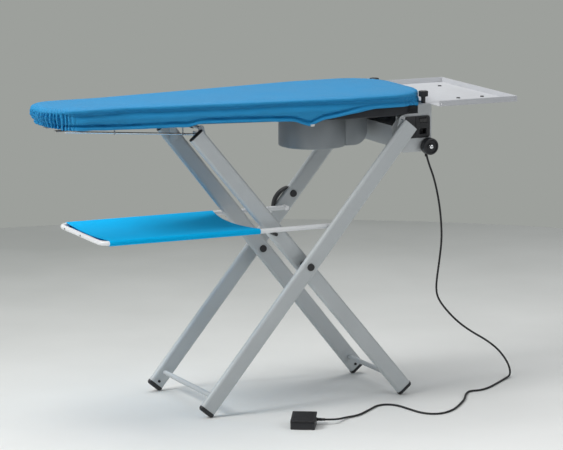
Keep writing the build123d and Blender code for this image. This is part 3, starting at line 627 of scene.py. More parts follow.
@dataclass
class BoardOutline:
    """The board seen from above, as a loop that starts at the nose's middle."""

    tip: float = -0.719
    waist: float = -0.482
    waist_half: float = 0.105
    shoulder: float = 0.188
    shoulder_half: float = 0.198
    rear: float = 0.459
    nose_round: float = 0.09
    waist_round: float = 0.3
    shoulder_round: float = 0.4
    rear_round: float = 0.13
    arc_steps: int = 40
    fine_step: float = 0.0022
    coarse_step: float = 0.005
    nose_fine: float = 0.14
    rear_fine: float = 0.11

    def dense(self) -> np.ndarray:
        """Rows of x, y and the outward direction's angle, close together all round.

        Returns:
            The rows, from the nose's middle round to it again.
        """
        w, s = self.waist_half, self.shoulder_half
        near = [(self.tip, -w), (self.waist, -w), (self.shoulder, -s), (self.rear, -s)]
        corners = near + [(x, -y) for x, y in reversed(near)]
        radii = [self.nose_round, self.waist_round, self.shoulder_round, self.rear_round]
        rows = [(self.tip, 0.0, math.pi)]
        for i, (corner, radius) in enumerate(zip(corners, radii + radii[::-1])):
            here = Vector(corner)
            came = (here - Vector(corners[i - 1])).normalized()
            goes = (Vector(corners[(i + 1) % len(corners)]) - here).normalized()
            turn = math.atan2(came.x * goes.y - came.y * goes.x, came.dot(goes))
            back = abs(radius * math.tan(turn / 2))
            first = math.atan2(came.y, came.x) - math.pi / 2
            side = 1 if turn > 0 else -1
            centre = here - came * back + side * radius * Vector((-came.y, came.x))
            for step in range(self.arc_steps + 1):
                angle = first + turn * step / self.arc_steps
                spoke = Vector((math.cos(angle), math.sin(angle)))
                point = centre + side * radius * spoke
                rows.append((point.x, point.y, angle))
        rows.append((self.tip, 0.0, math.pi))
        made = np.array(rows)
        made[:, 2] = np.unwrap(made[:, 2])
        return made

    def stations(self) -> Stations:
        """Places round the loop, closer together at the nose and the rear end.

        Returns:
            x, y, nx, ny and s, the distance from the nose along the loop, and the whole length.
        """
        rows = self.dense()
        run = np.concatenate([[0.0], np.cumsum(np.hypot(*np.diff(rows[:, :2], axis=0).T))])
        spots = [0.0]
        while spots[-1] < run[-1]:
            x = np.interp(spots[-1], run, rows[:, 0])
            fine = x < self.tip + self.nose_fine or x > self.rear - self.rear_fine
            spots.append(spots[-1] + (self.fine_step if fine else self.coarse_step))
        s = np.array(spots[:-1]) * run[-1] / spots[-1]
        angle = np.interp(s, run, rows[:, 2])
        return {"x": np.interp(s, run, rows[:, 0]), "y": np.interp(s, run, rows[:, 1]),
                "nx": np.cos(angle), "ny": np.sin(angle), "s": s, "length": np.array(run[-1])}


def from_tip(at: Stations) -> np.ndarray:
    """How far each station is from the nose's middle, along the loop."""
    return np.minimum(at["s"], float(at["length"]) - at["s"])


class RingStack:
    """A skin made of rings round the board, from the middle outwards and down."""

    nose_margin: float = 0.12
    rear_margin: float = 0.17
    slivers: float = 1e-7

    def __init__(self, outline: BoardOutline) -> None:
        """Takes the outline whose stations every ring has."""
        self.at = outline.stations()
        self.heart = (outline.tip + self.nose_margin, outline.rear - self.rear_margin)
        self.rings: list[np.ndarray] = []
        self.laid: list[np.ndarray] = []

    def ring(self, inset: np.ndarray | float, height: np.ndarray | float, laid: np.ndarray | float) -> None:
        """Adds a ring.

        Args:
            inset: How far in from the outline.
            height: Its height over the floor.
            laid: How far in from the outline it lies with the cloth spread flat.
        """
        at = self.at
        count = len(at["s"])
        x, y = at["x"] - at["nx"] * inset, at["y"] - at["ny"] * inset
        self.rings.append(np.column_stack([x, y, np.broadcast_to(height, count)]))
        u, v = at["x"] - at["nx"] * laid, at["y"] - at["ny"] * laid
        self.laid.append(np.column_stack([u, v]))

    def fill(self, steps: int, first: bool = True) -> None:
        """Closes the skin towards the middle.

        Args:
            steps: How many rings that takes.
            first: Whether they go in before the first ring, or after the last.
        """
        edge, flat = (self.rings[0], self.laid[0]) if first else (self.rings[-1], self.laid[-1])
        middle = edge.copy()
        middle[:, 0] = np.clip(edge[:, 0], *self.heart)
        middle[:, 1] = 0.0
        for step in range(1, steps + 1):
            share = step / steps
            ring = edge * (1 - share) + middle * share
            place = flat * (1 - share) + middle[:, :2] * share
            where = 0 if first else len(self.rings)
            self.rings.insert(where, ring)
            self.laid.insert(where, place)

    def build(self, name: str) -> Piece:
        """Makes the mesh with its map.

        Args:
            name: The piece's name.

        Returns:
            The skin, without thickness.
        """
        count, levels = len(self.rings[0]), len(self.rings)
        points = np.concatenate(self.rings)
        flat = np.concatenate(self.laid)
        around = np.arange(count)
        following = (around + 1) % count
        faces = []
        for level in range(levels - 1):
            a, b = level * count, (level + 1) * count
            faces.append(np.column_stack([a + around, b + around, b + following, a + following]))
        piece = Bench.blank(name, points.tolist(), (), np.concatenate(faces).tolist())
        layer = piece.data.uv_layers.new(name="Laid")
        corners = np.empty(len(piece.data.loops), np.int32)
        piece.data.loops.foreach_get("vertex_index", corners)
        layer.data.foreach_set("uv", flat[corners].astype(np.float32).ravel())
        Bench.edit(piece)
        bpy.ops.mesh.remove_doubles(threshold=Bench.doubles)
        bpy.ops.mesh.dissolve_degenerate(threshold=self.slivers)
        Bench.rest()
        return piece


@dataclass
class BoardPan:
    """The pressed pan under the board, whose walls are drawn in and whose floor rises towards the nose."""

    top: float = 0.884
    deep: float = 0.044
    full_from: float = -0.25
    slope_over: float = 0.2
    draw_in: float = 0.032
    nose_in: float = 0.012
    lift: float = 0.013
    lift_from: float = -0.62
    lift_over: float = 0.05
    rim_reach: float = 0.025
    edge_round: float = 0.0008
    cloth_follows: float = 0.85
    cloth_from: float = 0.07
    cloth_over: float = 0.13

    def sunk(self, z: np.ndarray | float) -> np.ndarray | float:
        """How far down the pan's wall a height lies, from 0 to 1."""
        return np.clip((self.top - z) / self.deep, 0.0, 1.0)

    def drawn(self, x: np.ndarray | float, z: np.ndarray | float) -> np.ndarray | float:
        """How much further in the wall stands than a straight one would."""
        share = ease((self.full_from - x) / self.slope_over)
        return share * (self.nose_in + self.draw_in * self.sunk(z))

    def behind_cloth(self, at: Stations, z: np.ndarray | float) -> np.ndarray:
        """How far the cover follows that wall in, which it does round the nose alone."""
        share = 1 - ease((from_tip(at) - self.cloth_from) / self.cloth_over)
        return self.cloth_follows * self.drawn(at["x"], z) * share

    def narrowed(self, node: Piece, name: str) -> Piece:
        """Copies a node, draws its rim in towards the nose and lifts its floor there.

        Args:
            node: The node.
            name: The new piece's name.

        Returns:
            The new piece.
        """
        piece = Bench.copy_of(node, name)
        at = BoardOutline().stations()
        for vertex in piece.data.vertices:
            spot = vertex.co
            near = int(np.argmin((at["x"] - spot.x) ** 2 + (at["y"] - spot.y) ** 2))
            shade_and_mottle = math.hypot(at["x"][near] - spot.x, at["y"][near] - spot.y)
            if shade_and_mottle < self.rim_reach:
                drawn = float(self.drawn(spot.x, spot.z))
                sunk = float(self.sunk(spot.z))
                spot.z += self.lift * sunk * float(ease((self.lift_from - spot.x) / self.lift_over))
                spot.x -= at["nx"][near] * drawn
                spot.y -= at["ny"][near] * drawn
        return piece

    def build(self, node: Piece) -> Piece:
        """Makes the pan."""
        return Bench.soften(self.narrowed(node, "pan_shell"), self.edge_round)

    def plate(self, node: Piece) -> Piece:
        """Makes the perforated plate that lies on the pan."""
        return Bench.smooth(self.narrowed(node, "work_plate_skin"))


@dataclass
class Cover:
    """The padded cover: its crowned top, and a skirt that is gathered at the nose and the rear end.

    The crown's rows are an inset and a height, the hem's an x and a height. Each fold's rows are a distance
    and how far in the cloth stands: down from the skirt's top for the upper fold, up from the hem for the
    lower one. The hem's turn has rows of how far in, how far up and how far along the cloth. A rate says
    how often a random form changes in a metre of the skirt's length.
    """

    crown: tuple = ((0.045, 0.908), (0.030, 0.9079), (0.019, 0.9074), (0.0115, 0.9065),
                    (0.0068, 0.9052), (0.0036, 0.9034), (0.0016, 0.9012), (0.0005, 0.8988))
    edge_reach: float = 0.034
    bulge: float = 0.0034
    bulge_reach: float = 0.009
    skirt_top: float = 0.8965
    hem: tuple = ((-0.7195, 0.854), (-0.705, 0.852), (-0.69, 0.850), (-0.659, 0.847),
                  (-0.471, 0.842), (-0.291, 0.841), (-0.257, 0.849), (-0.079, 0.847),
                  (0.023, 0.843), (0.068, 0.827), (0.110, 0.845), (0.205, 0.860),
                  (0.267, 0.869), (0.408, 0.869), (0.441, 0.858), (0.483, 0.851))
    hem_waver: float = 0.0013
    hem_rate: float = 21.0
    easing: int = 11
    hem_turn: tuple = ((0.0008, -0.0007, 0.001), (0.0020, -0.0004, 0.002), (0.0026, 0.0012, 0.0036))
    upper_fold: tuple = ((0.0, -0.0034), (0.002, -0.0016), (0.0045, 0.0036), (0.0075, 0.0056),
                         (0.0105, 0.0048), (0.0150, 0.0), (0.0210, -0.0052), (0.0270, -0.0076),
                         (0.036, -0.0068), (0.07, -0.0044))
    lower_fold: tuple = ((0.0, -0.0036), (0.004, -0.0032), (0.0078, 0.0024), (0.0106, 0.0098),
                         (0.0134, 0.0082), (0.0165, 0.0010), (0.02, 0.0), (0.06, 0.0))
    upper_sway: float = 0.0022
    lower_sway: float = 0.0018
    sway_rate: float = 6.5
    ripple_rate: float = 24.0
    tall_from: float = 0.0255
    tall_over: float = 0.02
    nose_gathered: float = 0.10
    nose_fade: float = 0.075
    nose_pitch: float = 0.0125
    nose_sharp: float = 1.9
    rear_gathered: float = 0.35
    rear_fade: float = 0.06
    rear_pitch: float = 0.019
    rear_sharp: float = 1.8
    rear_strength: float = 0.7
    pleat_wander: float = 0.8
    wander_rate: float = 31.0
    size_rate: float = 47.0
    pleat_reach: float = 0.0125
    pleat_flare: float = 0.012
    pleat_rest: float = 0.0046
    pleat_from: float = 0.16
    pleat_dip: float = 0.0023
    crumple: float = 0.0026
    crumple_rate: float = 60.0
    crease: float = 0.0017
    crease_rate: float = 75.0
    flutter: float = 0.0007
    pulled_at: float = 0.11
    pulled_over: float = 0.04
    rear_creased: float = 0.28
    calmed: float = 0.65
    deepest: float = 0.0048
    proudest: float = -0.0105
    rows: int = 38
    fill_rings: int = 7
    thickness: float = 0.0006
    tie_size: tuple = (0.012, 0.0012, 0.006)
    tie_bend: tuple = (9.0, 14.0)
    tie_place: tuple = (0.0695, -0.1978, 0.8305)

    def hem_height(self, at: Stations) -> np.ndarray:
        """The hem's height at each station, with its corners eased and a slight waver.

        Args:
            at: The stations.

        Returns:
            The heights over the floor.
        """
        places, heights = np.array(self.hem).T
        fine = np.linspace(places[0], places[-1], 600)
        line = np.interp(fine, places, heights)
        window = np.hanning(self.easing)
        padded = np.pad(line, self.easing // 2, mode="edge")
        eased = np.convolve(padded, window / window.sum(), mode="valid")
        return np.interp(at["x"], fine, eased) + self.hem_waver * waves(at["s"] * self.hem_rate, 5.0)

    def gathers(self, at: Stations, level: float) -> tuple[np.ndarray, np.ndarray]:
        """The cloth's pleats at each station.

        Args:
            at: The stations.
            level: How far down the skirt, from 0 to 1.

        Returns:
            How strongly the cloth is gathered, and its pleats from 0 to 1.
        """
        s = at["s"]
        nose = 1 - ease((from_tip(at) - self.nose_gathered) / self.nose_fade)
        rear = ease((at["x"] - self.rear_gathered) / self.rear_fade)
        warp = self.pleat_wander * waves(s * self.wander_rate + level * 0.5, 3.1, level * 0.8)
        size = 0.55 + 0.9 * np.abs(waves(s * self.size_rate, 9.7, level * 0.9))
        nose_pleats = (0.5 + 0.5 * np.cos(2 * math.pi * (s / self.nose_pitch + warp))) ** self.nose_sharp
        rear_pleats = (0.5 + 0.5 * np.cos(2 * math.pi * (s / self.rear_pitch + warp))) ** self.rear_sharp
        return nose + self.rear_strength * rear, np.where(nose > rear, nose_pleats, rear_pleats) * size

    def calm(self, strength: np.ndarray) -> np.ndarray:
        """What is left of the folds where the cloth is gathered."""
        return 1 - self.calmed * np.clip(strength, 0.0, 1.0)

    def ripple(self, at: Stations, level: float) -> np.ndarray:
        """A slight random ripple at each station, a share of the way down the skirt."""
        return waves(at["s"] * self.ripple_rate, level * 1.7, 4.0)

    def folded(self, at: Stations, down: np.ndarray, drop: np.ndarray, level: float) -> np.ndarray:
        """How far in the two long folds put the skirt.

        Args:
            at: The stations.
            down: The distance under the skirt's top at each station.
            drop: The skirt's whole height at each station.
            level: How far down the skirt, from 0 to 1.

        Returns:
            The inset at each station, in metres.
        """
        sway = waves(at["s"] * self.sway_rate, 0.4, level)
        ripple = self.ripple(at, level)
        upper = np.interp(down + self.upper_sway * sway, *np.array(self.upper_fold).T)
        lower = np.interp(drop - down + self.lower_sway * sway, *np.array(self.lower_fold).T)
        tall = ease((drop - self.tall_from) / self.tall_over)
        return upper * (0.85 + 0.35 * ripple) + lower * (0.4 + 0.6 * tall) * (0.9 + 0.45 * ripple)

    def creased(self, at: Stations, level: float) -> np.ndarray:
        """How far in the slanting creases put the skirt, most of all at the tie and near the rear.

        Args:
            at: The stations.
            level: How far down the skirt, from 0 to 1.

        Returns:
            The inset at each station, in metres.
        """
        slant = waves(at["s"] * self.crease_rate - level * 6.0, level * 1.2, 2.0)
        at_tie = np.exp(-((at["x"] - self.pulled_at) / self.pulled_over) ** 2)
        pulled = 0.35 + ease((at["x"] - self.rear_creased) / 0.1) + 0.9 * at_tie
        return self.crease * slant * pulled * math.sin(math.pi * min(1.0, 0.12 + level))

    def inset(self, at: Stations, down: np.ndarray, drop: np.ndarray, level: float) -> np.ndarray:
        """How far in from the outline the skirt hangs.

        Args:
            at: The stations.
            down: The distance under the skirt's top at each station.
            drop: The skirt's whole height at each station.
            level: How far down the skirt, from 0 to 1.

        Returns:
            The inset at each station, in metres.
        """
        strength, pleats = self.gathers(at, level)
        uneven = waves(at["s"] * self.crumple_rate + level * 8.0, level * 5.0, 7.0)
        crumpled = self.crumple * strength * uneven
        reach = self.pleat_reach + self.pleat_flare * level
        gathered = strength * ease(level / self.pleat_from) * (reach * pleats + crumpled - self.pleat_rest)
        fluttered = self.flutter * self.ripple(at, level) * level
        hung = self.folded(at, down, drop, level) * self.calm(strength)
        inset = hung + self.creased(at, level) + fluttered + gathered
        follow = BoardPan().behind_cloth(at, self.skirt_top - down)
        return np.clip(inset, self.proudest, self.deepest + 0.1 * follow) + follow

    def near_edge(self, inset: float) -> float:
        """How near the crown's edge a ring is, from 0 to 1."""
        return ease((self.edge_reach - inset) / self.edge_reach)

    def build(self) -> Piece:
        """Lays the cloth over the pad and down its sides.

        Returns:
            The cover, with its thickness.
        """
        stack = RingStack(BoardOutline())
        at = stack.at
        drop = self.skirt_top - self.hem_height(at)
        strength, pleats = self.gathers(at, 0.0)
        for inset, height in self.crown:
            near = self.near_edge(inset)
            lower = near * strength * pleats * self.pleat_dip
            out = self.bulge * ease((self.bulge_reach - inset) / self.bulge_reach) * self.calm(strength)
            shift = near * BoardPan().behind_cloth(at, self.skirt_top)
            stack.ring(inset + 0.6 * lower - out + shift, height - lower, inset)
        for row in range(self.rows + 1):
            level = row / self.rows
            down = level * drop
            stack.ring(self.inset(at, down, drop, level), self.skirt_top - down, -down)
        last = stack.rings[-1][:, 2]
        inset = self.inset(at, drop, drop, 1.0)
        for more, rise, tuck in self.hem_turn:
            stack.ring(inset + more * 0.6, last + rise, -drop - tuck)
        stack.fill(self.fill_rings)
        piece = stack.build("cover_skin")
        Bench.apply(piece, "SOLIDIFY", thickness=self.thickness, offset=-1.0, use_even_offset=False)
        return Bench.smooth(piece, 70.0)

    def tie(self) -> Piece:
        """Makes the end of the draw tape that hangs out at the hem.

        Returns:
            The tape's end.
        """
        tape = Bench.block("tie_end", self.tie_size)
        Bench.edit(tape)
        bpy.ops.mesh.subdivide(number_cuts=6)
        Bench.rest()
        sideways, upwards = self.tie_bend
        for vertex in tape.data.vertices:
            x, y, z = vertex.co
            vertex.co = (x, y - sideways * x * x + 0.0002 * wave(x * 500), z + upwards * x * x)
        Bench.soften(tape, 0.0003)
        tape.data.transform(Matrix.Translation(self.tie_place))
        return tape


@dataclass
class Pad:
    """The felt and foam under the cover.

    The walls' rows are a height, and how far in from the outline it lies with the felt spread flat.
    """

    gap: float = 0.0036
    side: float = 0.0056
    nose_shift: float = 1.6
    crown_rows: int = 6
    walls: tuple = ((0.8955, 0.0), (0.889, -0.006), (0.8856, -0.01))
    fine_step: float = 0.006
    coarse_step: float = 0.009
    fill_rings: int = 5

    def build(self) -> Piece:
        """Stacks the pad's rings from its middle over the edge to its underside.

        Returns:
            The pad.
        """
        stack = RingStack(BoardOutline(fine_step=self.fine_step, coarse_step=self.coarse_step))
        shift = self.nose_shift * BoardPan().behind_cloth(stack.at, Cover.skirt_top)
        for inset, height in Cover.crown[:self.crown_rows]:
            moved = Cover().near_edge(inset) * shift
            stack.ring(max(inset, self.side) + 0.5 * self.gap + moved, height - self.gap, inset)
        for height, laid in self.walls:
            stack.ring(self.side + shift, height, laid)
        stack.fill(self.fill_rings)
        stack.fill(self.fill_rings, first=False)
        return Bench.smooth(stack.build("pad_felt"), 50.0)


@dataclass
class ShelfCloth:
    """The laundry shelf's sleeve of cloth, drawn over both arms of the frame."""

    front: float = -0.552
    bend_from: float = -0.537
    bend: float = 0.035
    rear: float = -0.085
    half: float = 0.168
    level: float = 0.52832
    radius: float = 0.0082
    sag: float = 0.0068
    hollow: float = 0.018
    slow_ripple: float = 0.0005
    fine_ripple: float = 0.0003
    thickness: float = 0.0008
    steps: int = 56
    across: int = 44
    around: int = 10

    def loop(self) -> list[tuple[float, float, float]]:
        """Goes once round both arms.

        Returns:
            Rows of the share of the half width, the turn round an arm in degrees, and the height.
        """
        across = range(self.across + 1)
        turns = [180.0 * i / self.around for i in range(1, self.around)]
        rows = [(1 - 2 * i / self.across, 0.0, self.radius) for i in across]
        rows += [(-1.0, turn, 0.0) for turn in turns]
        rows += [(-1 + 2 * i / self.across, 0.0, -self.radius) for i in across]
        rows += [(1.0, turn, 0.0) for turn in turns]
        return rows

    def point(self, x: float, half: float, row: tuple[float, float, float]) -> tuple[float, float, float]:
        """A point of the sleeve.

        Args:
            x: Its place along the arms.
            half: The half width there.
            row: One of the loop's rows.

        Returns:
            The point.
        """
        share, turn, offset = row
        if turn:
            angle = math.radians(turn)
            lean = share * self.radius * math.sin(angle)
            lift = self.radius * math.cos(angle) * (-share)
            return x, share * half + lean, self.level + lift
        dip = self.sag * (1 - share * share)
        slow = self.slow_ripple * wave(x * 9, share * 2.4, offset * 300)
        fine = self.fine_ripple * wave(x * 60, share * 1.2, offset * 90)
        return x, share * half, self.level + offset - dip + (slow + fine) * (1 - share ** 8)

    def build(self) -> Piece:
        """Makes the sleeve, whose front end follows the frame's bend.

        Returns:
            The sleeve, with its thickness.
        """
        rows = self.loop()
        points, laid, faces = [], [], []
        length = 2 * math.pi * self.radius + 4 * self.half
        for i in range(self.steps + 1):
            way = i / self.steps
            for j, row in enumerate(rows):
                rear = self.rear - self.hollow * (1 - row[0] ** 2)
                x = self.front + (rear - self.front) * way
                over = max(0.0, self.bend_from - x)
                half = self.half - (self.bend - math.sqrt(self.bend ** 2 - over ** 2))
                points.append(self.point(x, half, row))
                laid.append((x, length * j / len(rows)))
        count = len(rows)
        for i in range(self.steps):
            for j in range(count):
                k = (j + 1) % count
                faces.append((i * count + j, i * count + k, (i + 1) * count + k, (i + 1) * count + j))
        piece = Bench.blank("shelf_sleeve", points, (), faces)
        layer = piece.data.uv_layers.new(name="Laid")
        for loop in piece.data.loops:
            layer.data[loop.index].uv = laid[loop.vertex_index]
        Bench.outward(piece)
        Bench.apply(piece, "SOLIDIFY", thickness=self.thickness, offset=-1.0)
        return Bench.smooth(piece, 50.0)


@dataclass
class FootCord:
    """The pedal's cord, from the gland under the box to the pedal on the floor, and its two ribbed sleeves.

    The route is in millimetres. The gland and the relief are each a sleeve's length and wide radius.
    """

    radius: float = 0.003
    length: float = 1.983
    exit: tuple = (0.463, -0.15, 0.734)
    route: tuple = (
        (463, -150, 734), (463, -150, 716), (473, -150, 684), (489, -150, 645), (504, -149, 590),
        (515, -147, 530), (522, -143, 460), (518, -137, 395), (513, -131, 340), (513, -125, 300),
        (524, -118, 270), (552, -110, 236), (598, -98, 192), (655, -83, 152), (715, -70, 118),
        (765, -62, 80), (796, -66, 36), (790, -92, 6), (752, -120, 3), (708, -158, 3), (655, -203, 3),
        (612, -224, 3), (578, -218, 3), (548, -252, 3), (512, -312, 3), (468, -364, 3), (415, -420, 3),
        (358, -446, 3), (318, -415, 3), (308, -345, 3), (296, -280, 3), (252, -264, 3), (200, -310, 3),
        (140, -362, 4), (92, -372, 4), (58, -400, 9), (23.7, -419.3, 15), (-5.8, -402.3, 15))
    gland: tuple = (0.026, 0.0058)
    relief: tuple = (0.024, 0.005)
    relief_place: tuple = (-0.0058, -0.4023, 0.015)
    relief_way: tuple = (29.5, -17.0, 0.0)
    relief_sunk: float = 0.0075
    play: float = 0.00005
    thin_wall: float = 0.0009
    collar: float = 0.0022
    plain: float = 0.0034
    rib_pitch: float = 0.0032
    rib_half: float = 0.0009
    groove_half: float = 0.0004
    groove_deep: float = 0.0007
    end_back: float = 0.0006
    end_in: float = 0.0005

    def build(self) -> Piece:
        """Makes the cord as one smooth spline.

        Returns:
            The cord, as a curve.
        """
        curve = bpy.data.curves.new("foot_cord", "CURVE")
        curve.dimensions = "3D"
        curve.bevel_depth = self.radius
        curve.bevel_resolution = 4
        curve.resolution_u = 10
        curve.use_fill_caps = True
        spline = curve.splines.new("NURBS")
        spline.points.add(len(self.route) - 1)
        for point, spot in zip(spline.points, in_metres(self.route)):
            point.co = (*spot, 1.0)
        spline.order_u = 3
        spline.use_endpoint_u = True
        cord = bpy.data.objects.new("foot_cord", curve)
        bpy.context.scene.collection.objects.link(cord)
        return cord

    def sleeve(self, name: str, start: Sequence[float], axis: Sequence[float], size: tuple) -> Piece:
        """Turns a ribbed sleeve that tapers along the cord.

        Args:
            name: The piece's name.
            start: Where its wide end sits, in metres.
            axis: The way the cord leaves.
            size: How long it is, and the wide end's radius.

        Returns:
            The sleeve.
        """
        length, wide = size
        bore, thin = self.radius + self.play, self.radius + self.thin_wall
        rows = [(bore, 0.0), (wide, 0.0), (wide, self.collar)]
        ribs = int(length / self.rib_pitch)
        for i in range(1, ribs):
            at = self.collar + (length - self.plain) * i / ribs
            outer = wide + (thin - wide) * at / length
            inner = outer - self.groove_deep
            rows += [(outer, at - self.rib_half), (inner, at - self.groove_half),
                     (inner, at + self.groove_half), (outer, at + self.rib_half)]
        rows += [(thin, length - self.end_back), (thin - self.end_in, length), (bore, length), (bore, 0.0)]
        return Bench.turned(name, rows, facing(start, axis), 28)

    def gland_sleeve(self) -> Piece:
        """Makes the sleeve that hangs from the gland."""
        return self.sleeve("gland_sleeve", self.exit, (0, 0, -1), self.gland)

    def pedal_sleeve(self) -> Piece:
        """Makes the sleeve at the pedal.

        Returns:
            The sleeve, whose wide end is sunk into the pedal's edge.
        """
        out = Vector(self.relief_way).normalized()
        start = Vector(self.relief_place) - out * self.relief_sunk
        return self.sleeve("pedal_sleeve", start, out, self.relief)


@dataclass
class Pedal:
    """The foot pedal's treadle, a sloping plate with grip ribs."""

    centre: tuple = (-0.057, -0.405)
    turn: float = -30.0
    long: float = 0.086
    front: float = 0.026
    back: float = 0.035
    edge_round: float = 0.0016
    ribs: int = 9
    ribbed: float = 0.72
    rib: tuple = (0.056, 0.0034, 0.0013)
    rib_round: float = 0.0005

    def frame(self) -> Matrix:
        """The pedal's own directions: X along its width and Y along its length."""
        return Matrix.Translation((*self.centre, 0)) @ Matrix.Rotation(math.radians(self.turn), 4, "Z")

    def treadle(self, node: Piece) -> Piece:
        """Rounds the treadle and raises grip ribs on its slope.

        Args:
            node: The treadle's node.

        Returns:
            The treadle with its ribs.
        """
        pieces = [Bench.soften(Bench.copy_of(node, "treadle_plate"), self.edge_round, 3)]
        rise = self.back - self.front
        slope = Matrix.Rotation(math.atan2(rise, self.long), 4, "X")
        for i in range(self.ribs):
            along = self.long * self.ribbed * (i / (self.ribs - 1) - 0.5)
            top = self.front + rise * (along / self.long + 0.5)
            rib = Bench.soften(Bench.block("treadle_rib", self.rib), self.rib_round)
            rib.data.transform(self.frame() @ Matrix.Translation((0, along, top)) @ slope)
            pieces.append(rib)
        return Bench.joined("treadle_plate", pieces)


@dataclass
class Wheels:
    """The two small wheels at the rear foot of the housing, with bright caps on their axle.

    The tyre's and the axle's profiles are in millimetres.
    """

    x: float = 0.461
    z: float = 0.742
    inner: float = 0.163
    tyre: tuple = ((4.4, 0.3), (9.4, 0.0), (9.8, 1.4), (17.8, 1.8), (18.6, 0.4), (21.6, 0.0),
                   (23.8, 1.0), (24.8, 3.0), (25.0, 6.0), (25.0, 11.0), (24.3, 11.5), (24.3, 12.5),
                   (25.0, 13.0), (25.0, 18.0), (24.8, 21.0), (23.8, 23.0), (21.5, 24.0), (19.6, 23.7),
                   (18.8, 22.2), (18.0, 20.8), (11.6, 20.4), (10.6, 21.0), (10.0, 23.2), (9.2, 23.8),
                   (4.4, 23.8), (4.4, 0.3))
    axle: tuple = ((0.0, 158.5), (4.0, 158.5), (4.0, 187.3), (6.5, 187.3), (6.5, 188.4),
                   (5.9, 189.7), (4.6, 190.6), (2.5, 191.2), (0.0, 191.3))

    def wheel(self, side: int) -> Piece:
        """Turns a wheel with a dished web.

        Args:
            side: -1 for the near wheel, 1 for the far one.

        Returns:
            The wheel.
        """
        place = facing((self.x, side * self.inner, self.z), (0, side, 0))
        name = "wheel_disc_" + ("near" if side < 0 else "far")
        return Bench.turned(name, in_metres(self.tyre), place, 56)

    def axles(self) -> Piece:
        """Turns both axle ends with their domed caps.

        Returns:
            Both ends as one piece.
        """
        places = [facing((self.x, 0, self.z), (0, side, 0)) for side in (-1, 1)]
        ends = [Bench.turned("axle_end", in_metres(self.axle), place, 32) for place in places]
        return Bench.joined("axle_caps", ends)


@dataclass
class Housing:
    """Small fittings on the housing: plug contacts, rivets and the drum's own shell.

    The drum's, contact's and rivet's profiles are in millimetres.
    """

    drum: tuple = ((0.0, 741.0), (96.0, 741.0), (98.4, 741.6), (99.6, 743.0), (100.0, 745.5),
                   (100.0, 838.0), (99.4, 840.0), (98.2, 840.0), (98.2, 746.0), (97.4, 743.4),
                   (95.0, 742.4), (0.0, 742.4))
    drum_x: float = 0.163
    contact: tuple = ((1.1, 0.0), (2.0, 0.0), (2.0, 3.0), (1.1, 3.0), (1.1, 0.0))
    contact_spots: tuple = ((0.438, -0.1405, 0.786), (0.452, -0.1405, 0.786), (0.445, -0.1405, 0.7915))
    pin_size: tuple = (0.016, 0.002, 0.004)
    pin_spots: tuple = ((0.4615, 0.053, 0.7685), (0.4615, 0.067, 0.7685), (0.4615, 0.06, 0.7745))
    pin_round: float = 0.0005
    rivet: tuple = ((0.0, 0.0), (2.6, 0.0), (2.5, 0.8), (1.8, 1.5), (0.9, 1.8), (0.0, 1.9))
    rivet_spots: tuple = ((-0.57885, 0.108, 0.52832), (-0.57885, -0.014, 0.52832))

    def shell(self) -> Piece:
        """Turns the drum."""
        return Bench.turned("drum_shell", in_metres(self.drum), Matrix.Translation((self.drum_x, 0, 0)), 96)

    def socket_contacts(self) -> Piece:
        """Turns the iron socket's three sleeves.

        Returns:
            The sleeves as one piece.
        """
        places = [facing(spot, (0, -1, 0)) for spot in self.contact_spots]
        rings = [Bench.turned("contact", in_metres(self.contact), place, 20) for place in places]
        return Bench.joined("socket_contacts", rings)

    def inlet_pins(self) -> Piece:
        """Makes the mains inlet's three flat pins.

        Returns:
            The pins as one piece.
        """
        pins = []
        for spot in self.pin_spots:
            pin = Bench.block("pin", self.pin_size)
            pin.data.transform(Matrix.Translation(spot))
            pins.append(Bench.soften(pin, self.pin_round))
        return Bench.joined("inlet_pins", pins)

    def rivets(self) -> Piece:
        """Turns the two dark rivets in the shelf's front bar.

        Returns:
            Both rivets as one piece.
        """
        places = [facing(spot, (-1, 0, 0)) for spot in self.rivet_spots]
        heads = [Bench.turned("rivet", in_metres(self.rivet), place, 20) for place in places]
        return Bench.joined("shelf_rivets", heads)


